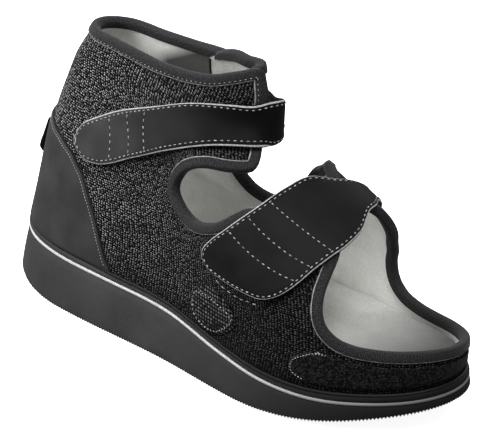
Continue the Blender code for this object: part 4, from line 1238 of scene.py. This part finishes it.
def strapWithSeams(name, strap, node, leather):
    piece, toPoints, width, length = stripPiece(
        name, strap["rows"], strap["radius"], strapProfile, [backingFelt, leather],
        "strap_synthetic", [node],
    )
    outline = stripOutline(width, length, strap["radius"], strapSeam["inset"], 0.0010)
    sewnLength = length - strapSeam["openEnd"]
    ends = outline[:, 0] > sewnLength
    keep = np.roll(outline, -np.argmax(ends), axis=0)
    keep = keep[keep[:, 0] <= sewnLength]
    face = strapProfile[-1][1]
    parts, holes = [], []

    def sew(spots):
        line = toPoints(spots, np.full(len(spots), face))
        normals = toPoints(spots, np.full(len(spots), face + 0.001)) - line
        pitch, radius = strapSeam["pitch"], strapSeam["radius"]
        parts.append(stitchRow(line, normals, strapSeam["length"], pitch, radius, strapSeam["lift"]))
        holes.append(stitchRow(
            line, normals, strapSeam["holeLength"], pitch, radius, strapSeam["holeLift"], holes=True,
        ))

    sew(keep)
    for lowS, highS in strap["crossSeams"]:
        share = np.linspace(0, 1, 30)
        s = lowS + (highS - lowS) * share
        half = width(s) / 2 - strapSeam["inset"]
        sew(np.column_stack([s, -half + 2 * half * share]))
    points, faces = joinParts(parts)
    makePiece(name + "Stitches", points, faces, [lightThread], "strap_synthetic")
    # dark bars sunk between the stitches: painted shade in the needle holes
    makePiece(name + "NeedleHoleShade", *joinParts(holes), [darkThread], "strap_synthetic")
    wide = float(np.mean(width(np.linspace(0, length, 30))))
    round(float(width(np.linspace(0, length, 60)).max()), 4)
    print(name, "made, length", round(float(length), 4), "mean width", round(wide, 4))


strapWithSeams("ankleStrap", ankleStrap, "ankle_strap", ankleLeather)
strapWithSeams("forefootStrap", forefootStrap, "forefoot_strap", strapLeather)

tongue = {
    "rows": (
        (124.0, 0.1070, -0.0096, 126.0, 0.1290, -0.0096),
        (137.0, 0.1060, -0.0096, 138.0, 0.1345, -0.0096),
        (150.0, 0.1055, -0.0096, 150.0, 0.1365, -0.0096),
        ((0.1600, -0.0040, 0.1330), (0.1535, -0.0015, 0.1690)),
        ((0.1625, 0.0020, 0.1330), (0.1542, 0.0025, 0.1697)),
        ((0.1600, 0.0080, 0.1330), (0.1515, 0.0054, 0.1700)),
        (227.0, 0.1030, -0.0096, 229.0, 0.1378, -0.0096),
        (238.0, 0.1010, -0.0096, 240.0, 0.1365, -0.0096),
        (250.0, 0.0990, -0.0096, 250.0, 0.1335, -0.0096),
        (262.0, 0.0960, -0.0096, 262.0, 0.1265, -0.0096),
    ),
    "thickness": 0.0032,
}
tonguePiece, tonguePoints, tongueWidth, tongueLength = stripPiece(
    "tongueFlap", tongue["rows"], 0.0,
    ((0.0, 0.0024, 0), (0.0006, 0.0029, 0), (0.0014, tongue["thickness"], 0)),
    [meshFinish, tongueShadedFleece], "tongue_cloth", ["tongue"], bottomFinish=1,
)
print("straps and tongue made")

# Bindings: tape folded over the free edge, with a thin piping and a row of stitches below
binding = {
    "width": 0.0044,
    "thickness": 0.0011,
    "grip": shoe["gap"] + 0.0001,
    "piping": 0.0004,
    "stretches": (
        ("collarBinding", "collar_binding", (243, 0.1075), (158, 0.1120), True),
        ("instepBindingLateral", "instep_binding_lateral", (158, 0.1120), (146, 0.0800), False),
        ("toeBinding", "toe_binding", (146, 0.0800), (186, 0.0900), False),
        ("instepBindingMedial", "instep_binding_medial", (186, 0.0900), (243, 0.1075), False),
    ),
}


def bindingSection(low, high):  # depth in from the edge, distance out, round the folded tape
    grip, thick = binding["grip"], binding["thickness"]
    nose = grip + thick
    middle, tall = (low + high) / 2, (high - low) / 2 + nose
    bow = [
        (-nose * math.cos(angle) - 0.0001, middle + tall * math.sin(angle))
        for angle in np.radians((78, 55, 30, 0, -30, -55, -78))
    ]
    wide = binding["width"]
    return [
        (wide, high + grip + 0.0005), (wide - 0.0004, high + nose - 0.0001), (wide - 0.0012, high + nose),
        (wide * 0.5, high + nose + 0.0001), (0.0008, high + nose), *bow, (0.0008, low - nose),
        (wide * 0.5, low - nose - 0.0001), (wide - 0.0012, low - nose),
        (wide - 0.0004, low - nose + 0.0001),
        (wide, low - grip - 0.0005), (wide, low - grip), (-grip, low - grip), (-grip, high + grip),
        (wide, high + grip),
    ]


def foldedTape(name, place, section, length, nodes):
    rings = np.stack([place(depth, out) for depth, out in section], axis=1)
    count = len(section)
    points = rings.reshape(-1, 3)
    around = np.cumsum([0] + [math.dist(a, b) for a, b in zip(section, section[1:])])
    uv = np.array([(s, t) for s in length for t in around])
    makePiece(name, points, ringFaces(len(rings), count), [bindingFinish], "binding_tape", nodes, uv=uv)


loopEdge = freeEdge[:-1]
loopSpots = onLast(loopEdge[:, 0], loopEdge[:, 1])
for name, node, startSpot, endSpot, stitched in binding["stretches"]:
    start, end = (
        int(np.argmin(np.linalg.norm(loopSpots - onLast(math.radians(turn), height), axis=1)))
        for turn, height in (startSpot, endSpot)
    )
    if end > start:
        stretch = loopEdge[start : end + 1].copy()
    else:
        stretch = np.concatenate([loopEdge[start:] - (tau, 0), loopEdge[: end + 1]])
    stretch[0] += (stretch[1] - stretch[0]) * 0.5
    stretch[-1] += (stretch[-2] - stretch[-1]) * 0.5

    def edgePlace(depth, out, stretch=stretch):
        return onWall(inward(stretch, depth), out)

    foldedTape(
        name, edgePlace, bindingSection(-shoe["wall"], 0.0),
        cumulative(onLast(stretch[:, 0], stretch[:, 1])), [node],
    )
    below = inward(stretch, binding["width"] + 0.0002)
    cordLine = onWall(below, 0.0003)
    cord = cordAlong(cordLine, lastNormals(*below.T), binding["piping"])
    makePiece(name + "Piping", *cord, [pipingCord], "binding_tape")
    inner = inward(stretch, binding["width"] - 0.0011)
    row = onWall(inner, binding["grip"] + binding["thickness"])
    thread = stitchRow(row, lastNormals(*inner.T), 0.0010, 0.0030, 0.00022 if stitched else 0.00028)
    makePiece(name + "Stitches", *thread, [pipingCord if stitched else darkThread], "binding_tape")

tongueSteps = np.linspace(0.0065, tongueLength - 0.0065, 60)


def tonguePlace(depth, out):
    over = max(-depth, 0)
    taper = 1 - 0.6 * np.clip(1 - (tongueLength - tongueSteps) / 0.018, 0, 1)  # narrower where it ends
    points = tonguePoints(
        np.column_stack([tongueSteps, tongueWidth(tongueSteps) / 2 - max(depth, 0) * taper]), out
    )
    if over:
        edge = tonguePoints(np.column_stack([tongueSteps, tongueWidth(tongueSteps) / 2]), out)
        deep = tonguePoints(np.column_stack([tongueSteps, tongueWidth(tongueSteps) / 2 - 0.002]), out)
        way = (edge - deep) / np.linalg.norm(edge - deep, axis=1)[:, None]
        points = edge + way * over
    return points


foldedTape(
    "tongueBinding", tonguePlace, bindingSection(0.0, tongue["thickness"]), tongueSteps, ["tongue_binding"]
)
endSteps = np.linspace(0.0, 0.9, 30)
endSpots = np.column_stack([
    np.full(30, tongueLength - 0.0006), tongueWidth(np.full(30, tongueLength)) * (0.5 - endSteps) - 0.0006,
])
endLine = tonguePoints(endSpots, np.zeros(30))
endNormals = tonguePoints(endSpots, np.full(30, 0.001)) - endLine
makePiece("tongueSideCord", *cordAlong(endLine, endNormals, 0.0008), [darkThread], "tongue_cloth")
print("bindings made")

# Pull tab: a loop of tape standing off the heel counter
pullTab = {
    "profile": columns(
        "height standoff",
        (0.0370, 0.0000), (0.0388, 0.0017), (0.0420, 0.0020), (0.0480, 0.0012), (0.0545, 0.0005),
        (0.0590, 0.0000),
    ),
    "width": 0.022,
    "thickness": 0.0018,
}
tabSection = [(-1.0, 0.5), (-0.985, 0.15), (-0.95, 0.0), (-0.5, 0.0), (0.0, 0.0), (0.5, 0.0), (0.95, 0.0),
              (0.985, 0.15), (1.0, 0.5), (0.985, 0.85), (0.95, 1.0), (0.5, 1.0), (0.0, 1.04), (-0.5, 1.0),
              (-0.95, 1.0), (-0.985, 0.85)]
tabRings, tabUv = [], []
tabLow, tabHigh = pullTab["profile"]["height"][[0, -1]]
for share in np.linspace(0, 1, 40):
    height = tabHigh + (tabLow - tabHigh) * share
    standoff = (weights(pullTab["profile"]["height"], height) @ pullTab["profile"]["standoff"])[0]
    wide = np.linalg.norm(onLast(0.1, height) - onLast(-0.1, height))
    halfTurn = 0.1 * pullTab["width"] / wide
    base = overlay + counter["thickness"] + shoe["gap"] + standoff
    turns = np.array([place * halfTurn for place, _ in tabSection])
    outs = np.array([base + part * pullTab["thickness"] for _, part in tabSection])
    tabRings.append(onLast(turns, np.full(len(turns), height), outs) + (0, 0, shoe["gap"]))
    tabUv += [(height, place * pullTab["width"] / 2) for place, _ in tabSection]
makePiece(
    "heelPullTab", np.concatenate(tabRings), ringFaces(40, len(tabSection)), [tabFinish],
    "binding_tape", ["heel_pull_tab"], uv=tabUv,
)


# Stitch rows on the panels
def sewOnWall(name, line, out, thread, slot, length=0.0012, pitch=0.0018, radius=0.00022):
    parts = stitchRow(onWall(line, out), lastNormals(*line.T), length, pitch, radius)
    makePiece(name, *parts, [thread], slot)


panelTop = overlay + counter["thickness"]
counterRow = inward(counterOutline, 0.0017, closed=True)
counterRow = counterRow[counterOutline[:, 1] > 0.003]
sewOnWall("heelCounterStitches", counterRow, panelTop, pipingCord, "counter_synthetic")
bandRow = inward(toeBandOutline, 0.0012, closed=True)
bandRow = bandRow[(bandRow[:, 0] < math.radians(134)) & (bandRow[:, 1] > 0.006)]
bandRow = bandRow[np.argsort(bandRow[:, 1])]
sewOnWall("toeLoopBandStitches", bandRow, overlay + 0.0009, lightThread, "loop_tape")
patchRow = (  # the seam that the photo shows on the patch
    (92.5, 0.0210), (92.0, 0.0145), (92.5, 0.0090), (93.2, 0.0065), (95.5, 0.0044), (98.0, 0.0042),
    (100.8, 0.0068), (103.2, 0.0130), (104.8, 0.0180), (105.0, 0.0210), (103.5, 0.0228), (100.0, 0.0238),
    (96.5, 0.0240), (92.5, 0.0210),
)
sewOnWall(
    "instepPatchStitches", smoothLine(patchRow, 0.002, 0.001), overlay + 0.0009, lightThread, "loop_tape",
    0.0014, 0.0026, 0.0003,
)
looseRow = (
    (99.5, 0.0370), (101.5, 0.0352), (104.0, 0.0352), (108.0, 0.0355), (111.5, 0.0375), (115.0, 0.0385),
)
sewOnWall(
    "upperStitches", smoothLine(looseRow, 0.002, 0.001), 0.0001, lightThread, "upper_mesh",
    0.0028, 0.0046, 0.0003,
)
shadowLine = inward(counterOutline, -0.0007, closed=True)[counterOutline[:, 1] > 0.0025]
shadowCord = cordAlong(onWall(shadowLine, 0.0003), lastNormals(*shadowLine.T), 0.00055)
makePiece("heelCounterShadowCord", *shadowCord, [darkThread], "counter_synthetic")
print("stitches made")

# Floor, light and camera
stage = {
    "floor": "#f4f4f3", "floorSize": 6.0, "floorGlow": 0.9, "worldStrength": 0.30,
    "lights": (  # name, place, aim, size, watts
        ("keyLight", (-0.75, -1.5, 1.2), (0.03, 0.0, 0.06), 0.7, 27.0),
        ("heelLight", (-1.8, -0.4, 0.95), (0.03, 0.0, 0.06), 0.7, 32.0),
        ("frontTopLight", (0.75, -0.55, 2.0), (0.03, 0.0, 0.05), 0.8, 34.0),
        ("backLight", (-0.2, 1.6, 1.2), (0.03, 0.0, 0.08), 1.0, 10.0),
    ),
}
size = stage["floorSize"] / 2
floorMesh = bpy.data.meshes.new("studioFloor")
floorCorners = [(-size, -size, 0), (size, -size, 0), (size, size, 0), (-size, size, 0)]
floorMesh.from_pydata(floorCorners, [], [(0, 1, 2, 3)])
studioFloor = bpy.data.objects.new("studioFloor", floorMesh)
bpy.context.scene.collection.objects.link(studioFloor)
paper, *_ = startMaterial("paperFloor", {
    "Base Color": srgb(stage["floor"]), "Roughness": 0.9,
    "Emission Color": (1.0, 1.0, 1.0, 1.0), "Emission Strength": stage["floorGlow"],
})
floorMesh.materials.append(paper)
studioFloor.visible_diffuse = False  # the photo's white is not thrown back on the shoe
studioFloor.visible_glossy = False

world = bpy.data.worlds.new("softStudio")
world.use_nodes = True
world.node_tree.nodes["Background"].inputs["Color"].default_value = (1.0, 1.0, 1.0, 1.0)
world.node_tree.nodes["Background"].inputs["Strength"].default_value = stage["worldStrength"]
bpy.context.scene.world = world
for name, place, aim, width, watts in stage["lights"]:
    light = bpy.data.lights.new(name, "AREA")
    light.size = width
    light.energy = watts
    lamp = bpy.data.objects.new(name, light)
    lamp.location = place
    lamp.rotation_euler = (Vector(aim) - Vector(place)).to_track_quat("-Z", "Y").to_euler()
    bpy.context.scene.collection.objects.link(lamp)

view = {  # the photo's angle to the shoe; pixels are of the 492 by 442 frame
    "azimuth": 38.941,
    "elevation": 26.399,
    "roll": 2.6,
    "distance": 2.078,
    "pixelsPerMetre": 1773.0,
    "frameWidth": 492,
    "frameHeight": 442,
    "centreX": 241.161,
    "centreY": 244.193,
    "pivot": (0.034, 0.0, 0.060),
}
turnAngle, rise, roll = (math.radians(view[key]) for key in ("azimuth", "elevation", "roll"))
rightWay = Vector((math.cos(turnAngle), math.sin(turnAngle), 0))
backWay = Vector((
    math.sin(turnAngle) * math.cos(rise), -math.cos(turnAngle) * math.cos(rise), math.sin(rise),
))
upWay = backWay.cross(rightWay)
cameraRight = rightWay * math.cos(roll) + upWay * math.sin(roll)
cameraUp = upWay * math.cos(roll) - rightWay * math.sin(roll)
cameraData = bpy.data.cameras.new("photoCamera")
cameraData.sensor_fit = "HORIZONTAL"
cameraData.sensor_width = 36
cameraData.lens = view["pixelsPerMetre"] * view["distance"] / view["frameWidth"] * 36
cameraData.shift_x = -(view["centreX"] - view["frameWidth"] / 2) / view["frameWidth"]
cameraData.shift_y = (view["centreY"] - view["frameHeight"] / 2) / view["frameWidth"]
camera = bpy.data.objects.new("photoCamera", cameraData)
place = Vector(view["pivot"]) + backWay * view["distance"]
camera.matrix_world = (
    Matrix.Translation(place) @ Matrix((cameraRight, cameraUp, backWay)).transposed().to_4x4()
)
bpy.context.scene.collection.objects.link(camera)
bpy.context.scene.camera = camera
bpy.context.scene.view_settings.view_transform = "Standard"
print("stage made")
